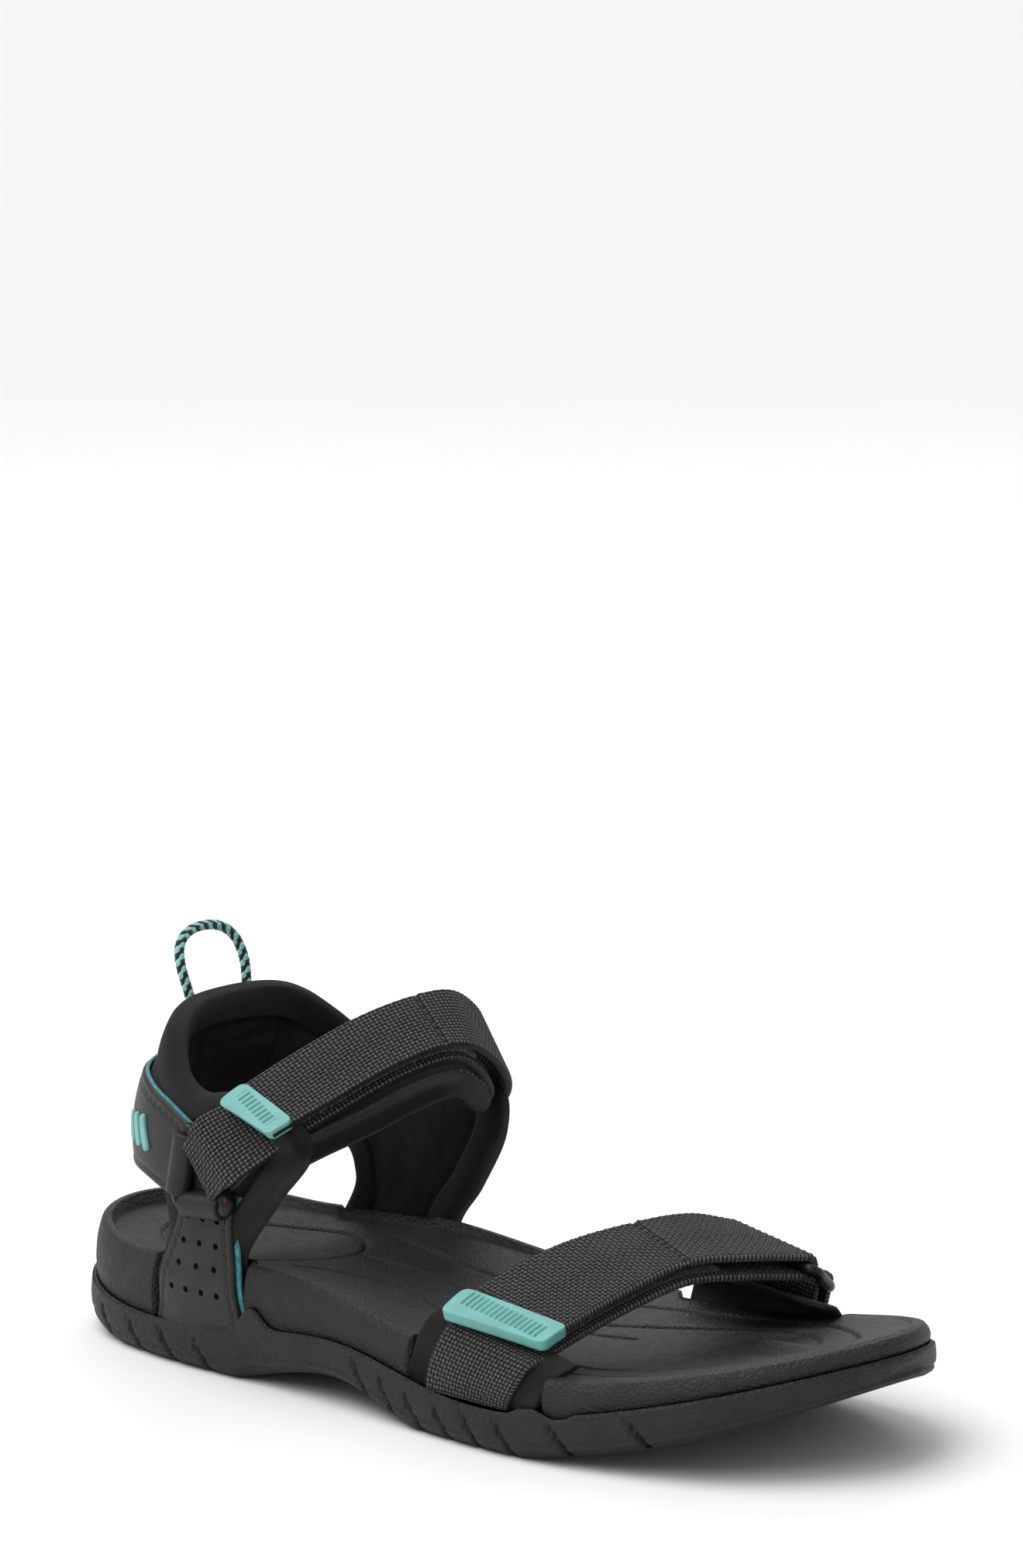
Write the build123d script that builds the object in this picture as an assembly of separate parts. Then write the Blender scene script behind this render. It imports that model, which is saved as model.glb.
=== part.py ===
from build123d import *
import os
from functools import lru_cache
from math import cos, pi, radians, sin, tan

# Strappy sport sandal for a right foot, in millimetres.
# +X points to the toe, +Y to the inner (medial) side of the foot, +Z up.
# The origin is on the ground, under the middle of the sole.

# ---- driving dimensions -------------------------------------------------
SOLE_LENGTH = 260.0
WALL = 4.0                 # lower side wall outside the footbed rim
FOOTBED_WALL = 2.3         # footbed side wall outside its own rim
OUTSOLE_THICK = 4.5
TREAD_DEPTH = 2.5
TREAD_WIDTH = 3.0
TREAD_PITCH = 12.0
COLLAR_THICK = 4.6
BINDING_THICK = 0.8
BINDING_WIDTH = 8.0
LEATHER_THICK = 1.6
WEBBING_THICK = 1.8
FASTENER_THICK = 1.2       # hook tape or loop tape
FLAP_GAP = 0.8             # between the hook tape and the loop tape
ANKLE_WEBBING = 20.0
ANKLE_FOLD = 16.5          # the ankle webbing gathers to this width in its rings
FOREFOOT_WEBBING = 28.0
PAD_THICK = 4.5
PAD_WIDTH = 29.0
RING_BAR = 1.5             # radius of a ring's bar
LOOP_CORD = 2.6            # diameter of the pull loop's cord
GRID = 0.04                # spacing of the sections along a strap, as a share of its length
LEAD_END = -2              # lead-in sections kept before the flap's own grid takes over
LOWER_DEPTH = WEBBING_THICK + 2 * FASTENER_THICK + FLAP_GAP
FOLD_RADIUS = (LOWER_DEPTH + WEBBING_THICK) / 2    # outside of the webbing round a ring's bar

# ---- sole outline and side profiles -------------------------------------
# The footbed rim in plan: (x, y), lateral side first, from heel to toe.
LATERAL_RIM = [(-118.4, -17.5), (-105.8, -27), (-88, -32.8), (-63, -35.8), (-38, -36.8), (-12, -38.8),
               (13, -42), (38, -44.4), (57, -44.1), (77, -40.2), (96, -33.3), (111, -23.5), (121.5, -11)]
MEDIAL_RIM = [(122, 21.5), (111, 33.5), (96, 40.3), (76, 44.4), (56, 44.4), (38, 41), (13, 35),
              (-12, 31), (-38, 30.2), (-63, 31), (-88, 32.2), (-106, 29.5), (-118.4, 20)]
HEEL_TIP = (-126, 1)
TOE_TIP = (126, 7)

# Side profiles as (x, z).
RIM_LINE = [(-140, 28), (-91, 24), (-52, 29.5), (-13, 27), (26, 21.5), (57, 20.5), (91, 25), (140, 37)]
GROOVE_LINE = [(-140, 19), (-91, 12), (-52, 14), (-13, 17.5), (26, 12.3), (57, 13), (91, 20), (140, 34.5)]
HEEL_FLAT = (-100.0, -52.0)
BALL_FLAT = (14.0, 52.0)
ARCH = [(-34, 4.5), (-13, 6.5), (4, 2.5)]
TOE_SPRING = [(91, 7.5), (140, 23)]
HEEL_RISE = [(-140, 6)]
DISH = [(-140, 1), (-91, 5.5), (-52, 5), (-13, 3), (26, 2), (57, 2), (91, 1.5), (140, 0.5)]

# ---- collar ---------------------------------------------------------------
# Collar wall by height: (z, lateral half width, medial half width, back x).
COLLAR_LEVELS = [(4, 39.6, 33.0, -103), (14, 38.8, 34.5, -103.5), (30, 37.4, 36.6, -104),
                 (45, 36.8, 37.0, -104.5), (57, 36.6, 37.0, -105), (70, 35.5, 36.0, -101),
                 (82, 32.5, 33.0, -95.5), (92, 29.0, 29.5, -91)]
COLLAR_CENTRE = -60.0
COLLAR_BULGE = 2.4         # exponent of the heel curve in plan
COLLAR_TOP = [(-112, 88), (-98, 86), (-85, 78.5), (-75, 72), (-66, 70)]
LATERAL_TOP = [(-56, 72), (-44, 74)]
MEDIAL_TOP = [(-55, 71.5), (-45, 72), (-34, 69.5)]
LATERAL_FRONT = [(-28, 62), (-40, 46), (-51, 31), (-48.6, 21.5), (-47, 8)]
MEDIAL_FRONT = [(-27.5, 62), (-28, 53), (-36, 38), (-44, 26), (-46, 8)]
COLLAR_REAR = [(-85, 8), (-82, 22), (-77.5, 33), (-80, 43), (-92, 45), (-112, 45)]

# ---- rings, straps: (x, y, z) ----------------------------------------------
LATERAL_RING_CORNER = (-69.5, -40.3, 42.5)
MEDIAL_RING_CORNER = (-68, 41.0, 42.5)
FLAT_RING_REACH = 2.3
RING_REACH = 4.1           # from the folded webbing's edge to a ring's corner

# Straps as stations: centre of the outer face, and the direction across the strap, rear to front.
ANKLE_FLAP = [((-46.6, -43.4, 64.6), (0.90, -0.14, -0.41)), ((-43, -39.2, 69.5), (0.89, -0.18, -0.43)),
              ((-35, -25.6, 77.9), (0.87, -0.21, -0.44)), ((-26.8, -12.4, 85.5), (0.85, -0.25, -0.46)),
              ((-20.5, 0.3, 89.5), (0.83, -0.29, -0.47)), ((-18.4, 11.2, 88.3), (0.76, -0.27, -0.59)),
              ((-23.2, 25.6, 80), (0.68, -0.17, -0.71)), ((-33, 37.6, 71.4), (0.64, -0.10, -0.76)),
              ((-43, 43.4, 64), (0.62, -0.05, -0.78)), ((-54, 45.2, 56), (0.62, 0.0, -0.78))]
ANKLE_LEAD = [((-58.0, -43.6, 53.8), (0.62, -0.03, -0.785)), ((-51.5, -43.2, 60), (0.74, -0.06, -0.67))]
FOREFOOT_FLAP = [((40.7, -46, 29.3), (0.98, 0.04, -0.18)), ((41.5, -36.8, 33.2), (0.977, 0.02, -0.21)),
                 ((46.4, -16.2, 40.2), (0.953, -0.19, -0.236)), ((52.7, 2.8, 44.5), (0.93, -0.33, -0.14)),
                 ((57.5, 19.4, 44), (0.955, -0.22, -0.19)), ((60.6, 34.6, 41), (0.985, -0.05, -0.16))]
FOREFOOT_BASE = [((33, -46.0, 11.0), (1, -0.05, 0)), ((35.2, -46.7, 17), (0.99, -0.05, -0.12)),
                 ((39, -44.8, 25), (0.98, 0.0, -0.17))]
FOREFOOT_LINING = [((33, -43.9, 11.0), (1, -0.05, 0)), ((35.2, -44.6, 17), (0.99, -0.05, -0.12)),
                   ((38.4, -42.6, 24.0), (0.98, 0.0, -0.17)), ((41, -36.8, 27.8), (0.97, 0.0, -0.20))]
MEDIAL_ANCHOR = [((58.0, 45.9, 31.5), (0.985, -0.02, -0.15)), ((55, 46.9, 23.5), (0.985, -0.02, -0.15)),
                 ((52, 46.4, 16.5), (0.99, 0.05, -0.1)), ((51.5, 45.6, 11.0), (1, 0.05, 0))]
MEDIAL_LINING = [((56.5, 33.5, 28.6), (0.985, -0.02, -0.05)), ((55.5, 38.6, 26.8), (0.985, -0.02, -0.05)),
                 ((53.5, 42.8, 22.0), (0.985, 0.02, -0.05)), ((52, 43.7, 17), (0.99, 0.05, -0.02)),
                 ((52, 43.2, 11.4), (1, 0.05, 0))]
LINING_THICK = 1.5
ANCHOR_LOW = 11.0          # height of the straps' cut ends, inside the sole
LINING_WIDTH = 43.0
MEDIAL_LINING_WIDTH = 46.0

# ---- pull loop ---------------------------------------------------------------
LOOP_FOOT = (-93.6, 10.0, 85.4)
LOOP_HALF = [(-94.4, 10.8, 89.6), (-96.0, 11.3, 94.4), (-98.0, 9.8, 99.6), (-99.2, 4.4, 102.6)]
LOOP_SEAT_DEPTH = 0.85     # the seat's top face is this far under the middle of the foot
LOOP_SEAT_WIDTH = 26.0
LOOP_SEAT_LOW = 77.0


def along_x(rows, x):
    """Value at x on the broken line through rows of (x, value)."""
    for (x0, v0), (x1, v1) in zip(rows, rows[1:]):
        if x <= x1:
            return v0 + (v1 - v0) * (x - x0) / (x1 - x0)
    return rows[-1][1]


# ---- sole ---------------------------------------------------------------------
def outline_face(grow):
    """Plan outline of the rim, moved outwards by grow."""
    ring = [HEEL_TIP] + LATERAL_RIM + [TOE_TIP] + MEDIAL_RIM
    points = []
    for index, (x, y) in enumerate(ring):
        before = Vector(*ring[index - 1])
        after = Vector(*ring[(index + 1) % len(ring)])
        tangent = (after - before).normalized()
        points.append((x + grow * tangent.Y, y - grow * tangent.X))
    return make_face(Spline(*points, periodic=True))


def side_edge(points):
    return Spline(*[(x, 0, z) for x, z in points])


def side_line(start, end):
    return Line((start[0], 0, start[1]), (end[0], 0, end[1]))


def bottom_edges(lift):
    """Ground line: heel rise, heel flat, arch, ball flat and toe spring, moved up by lift."""
    def up(points):
        return [(x, z + lift) for x, z in points]
    heel = up(HEEL_RISE + [(HEEL_FLAT[0], 0)])
    arch = up([(HEEL_FLAT[1], 0)] + ARCH + [(BALL_FLAT[0], 0)])
    toe = up([(BALL_FLAT[1], 0)] + TOE_SPRING)
    edges = [side_line(*heel), side_line(heel[1], arch[0]), side_edge(arch),
             side_line(arch[-1], toe[0]), side_edge(toe)]
    return edges, heel[0], toe[-1]


def band(low_edges, low_start, low_end, high_points):
    """Slab across the whole width between a low line and a high line, both in side view."""
    high = side_edge(high_points)
    ends = [side_line(low_start, high_points[0]), side_line(low_end, high_points[-1])]
    face = make_face(Wire(low_edges + [high] + ends))
    return extrude(face, amount=70, dir=(0, 1, 0), both=True)


def sole_prism(grow):
    return extrude(outline_face(grow), amount=60)


def dish_cutter():
    """Everything above the footbed's dished top."""
    rows = []
    for i in range(15):
        x = -140 + i * 20
        row = []
        for j in range(13):
            y = -60 + j * 10
            share = max(0.0, 1 - (y / 38) ** 2)
            row.append(Vector(x, y, along_x(RIM_LINE, x) - along_x(DISH, x) * share))
        rows.append(row)
    top = Face.make_surface_from_array_of_points(rows)
    return Solid.extrude(top, Vector(0, 0, 60))


def tread_grooves():
    """Slanted grooves across the ground side of the outsole."""
    cutter = Part()
    for first, last in (HEEL_FLAT, BALL_FLAT):
        count = int((last - first) // TREAD_PITCH)
        for k in range(count + 1):
            x = first + (last - first) * (k + 0.5) / (count + 1)
            groove = Pos(x, 0, 0) * Rot(0, 0, 12) * Box(TREAD_WIDTH, 140, 2 * TREAD_DEPTH)
            cutter += groove
    return cutter


def make_sole():
    low, start, end = bottom_edges(0)
    outsole_top, top_start, top_end = bottom_edges(OUTSOLE_THICK)
    ground = make_face(Wire(low + [side_line(start, (start[0], 70)), side_line((start[0], 70), (end[0], 70)),
                                   side_line((end[0], 70), end)]))
    above_ground = extrude(ground, amount=70, dir=(0, 1, 0), both=True)
    above_outsole = band(outsole_top, top_start, top_end, GROOVE_LINE)
    lower = sole_prism(WALL)
    midsole = lower & above_outsole
    groove = make_face(Wire([side_edge(GROOVE_LINE), side_line(GROOVE_LINE[0], (-140, 70)),
                             side_line((-140, 70), (140, 70)), side_line((140, 70), GROOVE_LINE[-1])]))
    above_groove = extrude(groove, amount=70, dir=(0, 1, 0), both=True)
    outsole = (lower & above_ground) - above_outsole - above_groove - tread_grooves()
    footbed = (sole_prism(FOOTBED_WALL) & above_groove) - dish_cutter()
    return outsole, midsole, footbed


def make_inserts():
    """Shank in the arch and shock pad under the heel, both sealed in the midsole."""
    shank = Pos(-25, 0, 11.3) * extrude(RectangleRounded(66, 24, 10), amount=1.5)
    pad = Pos(-80, 0, 5.5) * extrude(Ellipse(24, 20), amount=4)
    return shank, pad


# ---- collar -----------------------------------------------------------------
def collar_section(level, grow):
    """Closed plan outline of the collar at one height, open ended towards the toe."""
    z, lateral, medial, back = level
    depth = COLLAR_CENTRE - back + grow
    points = [(10, -(lateral + grow)), (-20, -(lateral + grow))]
    for k in range(9):
        angle = radians(-90 + 22.5 * k)
        half = (medial if angle > 0 else lateral) + grow
        x = COLLAR_CENTRE - depth * abs(cos(angle)) ** (2 / COLLAR_BULGE)
        y = half * abs(sin(angle)) ** (2 / COLLAR_BULGE) * (1 if angle > 0 else -1)
        points.append((x, y))
    points += [(-20, medial + grow), (10, medial + grow)]
    spline = Spline(*[(x, y, z) for x, y in points])
    close = Line(spline @ 1, spline @ 0)
    return make_face(Wire([spline, close]))


@lru_cache(maxsize=None)
def collar_body(grow):
    """Solid inside the collar's outer face, moved outwards by grow."""
    return loft([collar_section(level, grow) for level in COLLAR_LEVELS])


def collar_face(top, front):
    points = COLLAR_REAR[::-1]
    rear = Spline(*[(x, 0, z) for x, z in points])
    upper = Spline(*[(x, 0, z) for x, z in COLLAR_TOP + top + front])
    ends = [side_line(points[0], COLLAR_TOP[0]), side_line(points[-1], front[-1])]
    return make_face(Wire([rear, upper] + ends))


def collar_prism(shrink):
    """Side view shape of the collar, lateral half and medial half."""
    halves = []
    for top, front, side in ((LATERAL_TOP, LATERAL_FRONT, -1), (MEDIAL_TOP, MEDIAL_FRONT, 1)):
        face = collar_face(top, front)
        if shrink:
            face = offset(face, amount=-shrink)
        halves.append(extrude(face, amount=60, dir=(0, side, 0)))
    return halves[0] + halves[1]


def side_plate(points, side):
    face = make_face(Polyline(*[(x, 0, z) for x, z in points], close=True))
    return extrude(face, amount=60, dir=(0, side, 0))


# ---- rings ------------------------------------------------------------------
def bar(start, end, radius):
    start, end = Vector(*start), Vector(*end)
    length = (end - start).length
    plane = Plane(origin=start, z_dir=end - start)
    return extrude(plane * Circle(radius), amount=length)


def wire_ring(corners, radius):
    ring = Part()
    for index, corner in enumerate(corners):
        ring += bar(corner, corners[index - 1], radius)
        ring += Pos(*corner) * Sphere(radius)
    return ring


def sleeve(start, end, inset):
    """Leather turned round a ring's bar, clear of the bar's corners."""
    start, end = Vector(*start), Vector(*end)
    step = (end - start).normalized() * inset
    outer = bar(start + step, end - step, RING_BAR + 0.1 + LEATHER_THICK)
    return outer - bar(start, end, RING_BAR + 0.1)


# ---- straps -----------------------------------------------------------------
class Strap:
    """A band through stations; t runs from 0 to 1 along it, depth is measured inwards."""

    def __init__(self, stations):
        self.centres = [Vector(*centre) for centre, _ in stations]
        self.across = [Vector(*direction).normalized() for _, direction in stations]

    def blend(self, values, t):
        last = len(values) - 1
        place = min(max(t, 0.0), 1.0) * last
        i = min(int(place), last - 1)
        u = place - i
        p1, p2 = values[i], values[i + 1]
        p0 = values[i - 1] if i > 0 else p1 * 2 - p2
        p3 = values[i + 2] if i + 2 <= last else p2 * 2 - p1
        a = p1 * 2
        b = p2 - p0
        c = p0 * 2 - p1 * 5 + p2 * 4 - p3
        d = p1 * 3 - p0 - p2 * 3 + p3
        return (a + b * u + c * (u * u) + d * (u ** 3)) * 0.5

    def frame(self, t):
        """Centre, forward, across and outward directions at t."""
        step = 0.01
        low, high = max(t - step, 0), min(t + step, 1)
        forward = (self.blend(self.centres, high) - self.blend(self.centres, low)).normalized()
        across = self.blend(self.across, t)
        across = (across - forward * across.dot(forward)).normalized()
        return self.blend(self.centres, t), forward, across, across.cross(forward)

    def point(self, t, depth):
        centre, _, _, outward = self.frame(t)
        return centre - outward * depth

    def section(self, t, width, top, bottom):
        centre, _, across, outward = self.frame(t)
        corners = []
        for side, depth in ((-1, top), (1, top), (1, bottom), (-1, bottom)):
            corners.append(centre + across * (side * width / 2) - outward * depth)
        return make_face(Polyline(*corners, close=True))

    def sections(self, start, end, width, top, thick):
        """Cross-sections from start to end, on the same grid; width is a number or a function of t."""
        width_at = width if callable(width) else lambda t: width
        grid = [k * GRID for k in range(int(1 / GRID) + 1)]
        places = [start] + [t for t in grid if start + 1e-6 < t < end - 1e-6] + [end]
        return [self.section(t, width_at(t), top, top + thick) for t in places]

    def band(self, start, end, width, top, thick):
        return loft(self.sections(start, end, width, top, thick), ruled=True)


def fold(strap, t, heading, width, tail):
    """Webbing turned through half a circle at t, heading along (1) or against (-1) the strap."""
    centre, forward, _, outward = strap.frame(t)
    forward = forward * heading
    plane = Plane(origin=centre - outward * FOLD_RADIUS, x_dir=forward, z_dir=forward.cross(outward))
    inner = FOLD_RADIUS - WEBBING_THICK
    turn = Circle(FOLD_RADIUS) - Circle(inner) - Pos(-FOLD_RADIUS, 0) * Rectangle(2 * FOLD_RADIUS, 4 * FOLD_RADIUS)
    shape = turn
    if tail:
        shape += Pos(-tail / 2, -FOLD_RADIUS + WEBBING_THICK / 2) * Rectangle(tail, WEBBING_THICK)
    return extrude(plane * shape, amount=width / 2, both=True)


def gathered(share):
    """Width of the ankle webbing when share of the way out of its ring."""
    return ANKLE_FOLD + (ANKLE_WEBBING - ANKLE_FOLD) * min(max(share, 0), 1)


def flap_gather(t):
    return gathered((1 - t) / 0.2)


def lower_layer(lead, flap, start, widths):
    """Fixed layer of a strap: lead-in stations, then under the flap to the fold at its root."""
    _, _, across, _ = flap.frame(start)
    stations = list(lead) + [(tuple(flap.point(start, LOWER_DEPTH)), tuple(across))]
    lead_strap = Strap(stations)
    lead_width, flap_width, fold_width = widths
    lead_sections = lead_strap.sections(0, 1, lead_width, 0, WEBBING_THICK)[:LEAD_END]
    layer = loft(lead_sections + flap.sections(start, 1, flap_width, LOWER_DEPTH, WEBBING_THICK), ruled=True)
    return layer + fold(flap, 1, 1, fold_width, 0), lead_strap


def largest(shape):
    return max(shape.solids(), key=lambda solid: solid.volume)


def carve(parts, name, *cutters):
    """Cut neighbours out of one part and drop the crumbs."""
    piece = parts[name]
    for cutter in cutters:
        piece = piece - cutter
    parts[name] = largest(piece)


# ---- the model ----------------------------------------------------------------
HEEL_STRAP_SIDE = [(-71.0, 41.5), (-64.5, 62.5), (-74, 66), (-90, 70), (-112, 71), (-112, 47), (-92, 46), (-78, 44)]
SIDE_TAB = [(-69.5, 43.5), (-50.5, 45.5), (-52, 36), (-50.5, 24), (-48.5, 8), (-82, 8), (-77, 24), (-71, 36)]
TAB_HOLES = [(39.5, 3, 5.0), (33, 3, 5.6), (27, 3, 6.2), (20.5, 4, 5.4)]
TAB_HOLE_RADIUS = 0.8
EMBLEM_SPOT = (-99, -24, 57)
EMBLEM_HEADING = (-0.86, -0.5, 0)
SLEEVE_INSET = 3.0
SKIN_GAP = 0.05


def shell(low, high):
    """Skin on the collar's outer face, between two distances from it."""
    return collar_body(high) - collar_body(low)


def loop_seat_box():
    x, _, z = LOOP_FOOT
    top = z - LOOP_SEAT_DEPTH
    return Pos(x, 0, (LOOP_SEAT_LOW + top) / 2) * Box(30, LOOP_SEAT_WIDTH, top - LOOP_SEAT_LOW)


def loop_seat_clearance():
    x, _, z = LOOP_FOOT
    return Pos(x, 0, LOOP_SEAT_LOW + 20) * Box(30, LOOP_SEAT_WIDTH, 40)


def make_collar():
    """Padded core of the heel collar as an outer and a lining half, and the block that seats the pull loop."""
    strap_room = Strap(ANKLE_FLAP).band(0, 1, PAD_WIDTH, -2, LOWER_DEPTH + WEBBING_THICK + 2.1)
    core = largest((collar_body(0) - collar_body(-COLLAR_THICK)) & collar_prism(0) - strap_room)
    middle = collar_body(-COLLAR_THICK / 2)
    seat = core & loop_seat_box()
    for side in (-1, 1):
        seat -= Pos(LOOP_FOOT[0], side * LOOP_FOOT[1], LOOP_FOOT[2]) * Sphere(LOOP_CORD / 2 + 0.06)
    trimmed = core - loop_seat_clearance()
    return trimmed - middle, trimmed & middle, seat, core


def make_binding(core):
    """Edge binding: a thin strip on each face of the collar, along its edge."""
    rim = collar_prism(0) - collar_prism(BINDING_WIDTH)
    outside = shell(0, BINDING_THICK) & rim
    inside = shell(-COLLAR_THICK - BINDING_THICK, -COLLAR_THICK) & rim
    above_sole = Pos(-60, 0, 70) * Box(200, 200, 80)
    return [(outside & above_sole) - loop_seat_clearance(), (inside & above_sole) - loop_seat_clearance()]


def make_side_tab(ring, side):
    """Leather tab from the ring's bottom bar down to the sole, with its coloured backing."""
    plate = side_plate(SIDE_TAB, side)
    backing = shell(SKIN_GAP, SKIN_GAP + 0.6) & plate
    tab = shell(SKIN_GAP + 0.6, SKIN_GAP + 0.6 + LEATHER_THICK) & plate
    tab += sleeve(ring[1], ring[2], SLEEVE_INSET)
    ring_room = wire_ring(ring, RING_BAR + 0.1)
    return (tab - ring_room) - tab_holes(side), backing - wire_ring(ring, RING_BAR + 0.1 + LEATHER_THICK)


def tab_holes(side):
    holes = Part()
    for z, count, pitch in TAB_HOLES:
        for k in range(count):
            x = -61.5 - (39.5 - z) * 0.15 + (k - (count - 1) / 2) * pitch
            holes += Pos(x, side * 40, z) * Rot(90, 0, 0) * Cylinder(TAB_HOLE_RADIUS, 8)
    return holes


def make_heel_strap(rings):
    """Smooth leather band round the heel, turned round the rear bar of each ring."""
    plates = side_plate(HEEL_STRAP_SIDE, -1) + side_plate(HEEL_STRAP_SIDE, 1)
    strap = shell(SKIN_GAP + BINDING_THICK, SKIN_GAP + BINDING_THICK + LEATHER_THICK) & plates
    for ring in rings:
        strap += sleeve(ring[0], ring[1], SLEEVE_INSET)
    for ring in rings:
        strap -= wire_ring(ring, RING_BAR + 0.1)
    return strap


def make_emblem():
    """Three slanted bars, raised on the heel strap."""
    gap = SKIN_GAP + BINDING_THICK + LEATHER_THICK
    skin = shell(gap, gap + 0.8)
    plane = Plane(origin=EMBLEM_SPOT, z_dir=EMBLEM_HEADING)
    marks = Part()
    for k in range(3):
        shape = Pos((k - 1) * 4.2, 0) * Rot(0, 0, -25) * RectangleRounded(2.4, 9 - k, 1.0)
        marks += extrude(plane * shape, amount=14, both=True) & skin
    return marks


def bend_radii(route):
    """Largest arc that each corner's shorter run allows."""
    radii = []
    for before, corner, after in zip(route, route[1:], route[2:]):
        turn = radians((corner - before).get_angle(after - corner))
        run = min((corner - before).length, (after - corner).length)
        radii.append(0.45 * run / tan(turn / 2))
    return radii


def make_pull_loop():
    """Cord loop standing on two round feet."""
    x, y, z = LOOP_FOOT
    right = [(x, -y, z)] + [(px, -py, pz) for px, py, pz in LOOP_HALF]
    left = [(px, py, pz) for px, py, pz in reversed(LOOP_HALF)] + [(x, y, z)]
    route = [Vector(*point) for point in right + left]
    radii = bend_radii(route)
    path = FilletPolyline(*route, radius=radii)
    section = Plane(origin=route[0], z_dir=route[1] - route[0]) * Circle(LOOP_CORD / 2)
    tube = sweep(section, path=path)
    print("pull loop bend radii", [round(radius, 1) for radius in radii])
    print("pull loop length", round(path.length, 1), "volume ratio",
          round(tube.volume / (path.length * pi * LOOP_CORD ** 2 / 4), 4))
    return tube + Pos(*route[0]) * Sphere(LOOP_CORD / 2) + Pos(*route[-1]) * Sphere(LOOP_CORD / 2)


def bar_ends(strap, t, width, margin):
    """Ends of the ring bar that the strap's webbing turns round at t."""
    _, _, across, _ = strap.frame(t)
    reach = across * (width / 2 + margin)
    middle = strap.point(t, FOLD_RADIUS)
    return tuple(middle - reach), tuple(middle + reach)


def strap_set(parts, name, flap, lower, width, trim_widths, places):
    """Lower layer, flap, hook and loop tapes and pull tab of one strap."""
    tab_end, hook_end, loop_end = places
    tab_width, tape_width = trim_widths
    loop_top = WEBBING_THICK + FASTENER_THICK + FLAP_GAP
    hook_start = tab_end + GRID
    parts[f"{name}_strap_flap"] = flap.band(tab_end, 0.998, width, 0, WEBBING_THICK)
    parts[f"{name}_hook_tape"] = flap.band(hook_start, hook_end, tape_width, WEBBING_THICK, FASTENER_THICK)
    parts[f"{name}_loop_tape"] = flap.band(hook_start, loop_end, tape_width, loop_top, FASTENER_THICK)
    parts[f"{name}_pull_tab"] = flap.band(0, tab_end, tab_width, -0.6, WEBBING_THICK + 0.6)
    parts[f"{name}_strap_lower"] = lower
    centre, _, across, _ = flap.frame(1)
    print(name, "hinge", [round(v, 3) for v in centre], "axis", [round(-v, 4) for v in across])


def make_ankle(parts, core):
    flap = Strap(ANKLE_FLAP)
    lower, lead = lower_layer(ANKLE_LEAD, flap, 0.16, (lambda t: gathered(2 * t), flap_gather, ANKLE_FOLD))
    lower += fold(lead, 0, -1, ANKLE_FOLD, 0)
    strap_set(parts, "ankle", flap, lower, flap_gather, (ANKLE_WEBBING + 1, ANKLE_WEBBING - 4), (0.12, 0.44, 0.60))
    lead_room = lead.band(0, 1, ANKLE_WEBBING + 1, -0.2, WEBBING_THICK + 0.4)
    carve(parts, "heel_collar_outer", lead_room)
    carve(parts, "heel_collar_lining", lead_room)
    lateral_top, lateral_front = bar_ends(lead, 0, ANKLE_FOLD, RING_REACH)
    medial_top, medial_front = bar_ends(flap, 1, ANKLE_FOLD, RING_REACH)
    rings = ((lateral_top, LATERAL_RING_CORNER, lateral_front), (medial_top, MEDIAL_RING_CORNER, medial_front))
    parts["instep_pad"] = flap.band(0.16, 0.68, PAD_WIDTH, LOWER_DEPTH + WEBBING_THICK + 0.1, PAD_THICK)
    return rings


def make_forefoot(parts):
    flap = Strap(FOREFOOT_FLAP)
    lower, _ = lower_layer(FOREFOOT_BASE, flap, 0.12, [FOREFOOT_WEBBING] * 3)
    strap_set(parts, "forefoot", flap, lower, FOREFOOT_WEBBING, (FOREFOOT_WEBBING + 3, FOREFOOT_WEBBING - 4),
              (0.20, 0.48, 0.72))
    anchor = Strap(MEDIAL_ANCHOR)
    upper_bar = bar_ends(flap, 1, FOREFOOT_WEBBING, FLAT_RING_REACH)
    lower_bar = bar_ends(anchor, 0, FOREFOOT_WEBBING, FLAT_RING_REACH)
    corners = (upper_bar[0], upper_bar[1], lower_bar[1], lower_bar[0])
    parts["forefoot_ring"] = wire_ring(corners, RING_BAR)
    anchor_band = anchor.band(0, 1, FOREFOOT_WEBBING, 0, WEBBING_THICK)
    parts["forefoot_medial_anchor"] = anchor_band + fold(anchor, 0, -1, FOREFOOT_WEBBING, 0)
    parts["forefoot_medial_lining"] = Strap(MEDIAL_LINING).band(0, 1, MEDIAL_LINING_WIDTH, 0, LINING_THICK)
    parts["forefoot_lateral_lining"] = Strap(FOREFOOT_LINING).band(0, 1, LINING_WIDTH, 0, LINING_THICK)
    below_groove = Box(400, 200, 2 * ANCHOR_LOW)
    carve(parts, "forefoot_lateral_lining", below_groove)
    carve(parts, "forefoot_medial_anchor", below_groove)
    carve(parts, "forefoot_strap_lower", below_groove)


def sole_slots():
    """Room in the sole for everything that is held between footbed and midsole."""
    leg = [(-89, 7.9), (-43.5, 7.9), (-43.5, 40), (-89, 40)]
    ring = shell(-COLLAR_THICK - 0.15, SKIN_GAP + 0.75 + LEATHER_THICK)
    slots = list((ring & side_plate(leg, -1)).solids()) + list((ring & side_plate(leg, 1)).solids())
    for x, side, length in ((36.5, -1, 51), (53.5, 1, 57)):
        slots.append(Pos(x, side * 43.6, ANCHOR_LOW + 20) * Box(length, 9.2, 40))
    return slots


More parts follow.
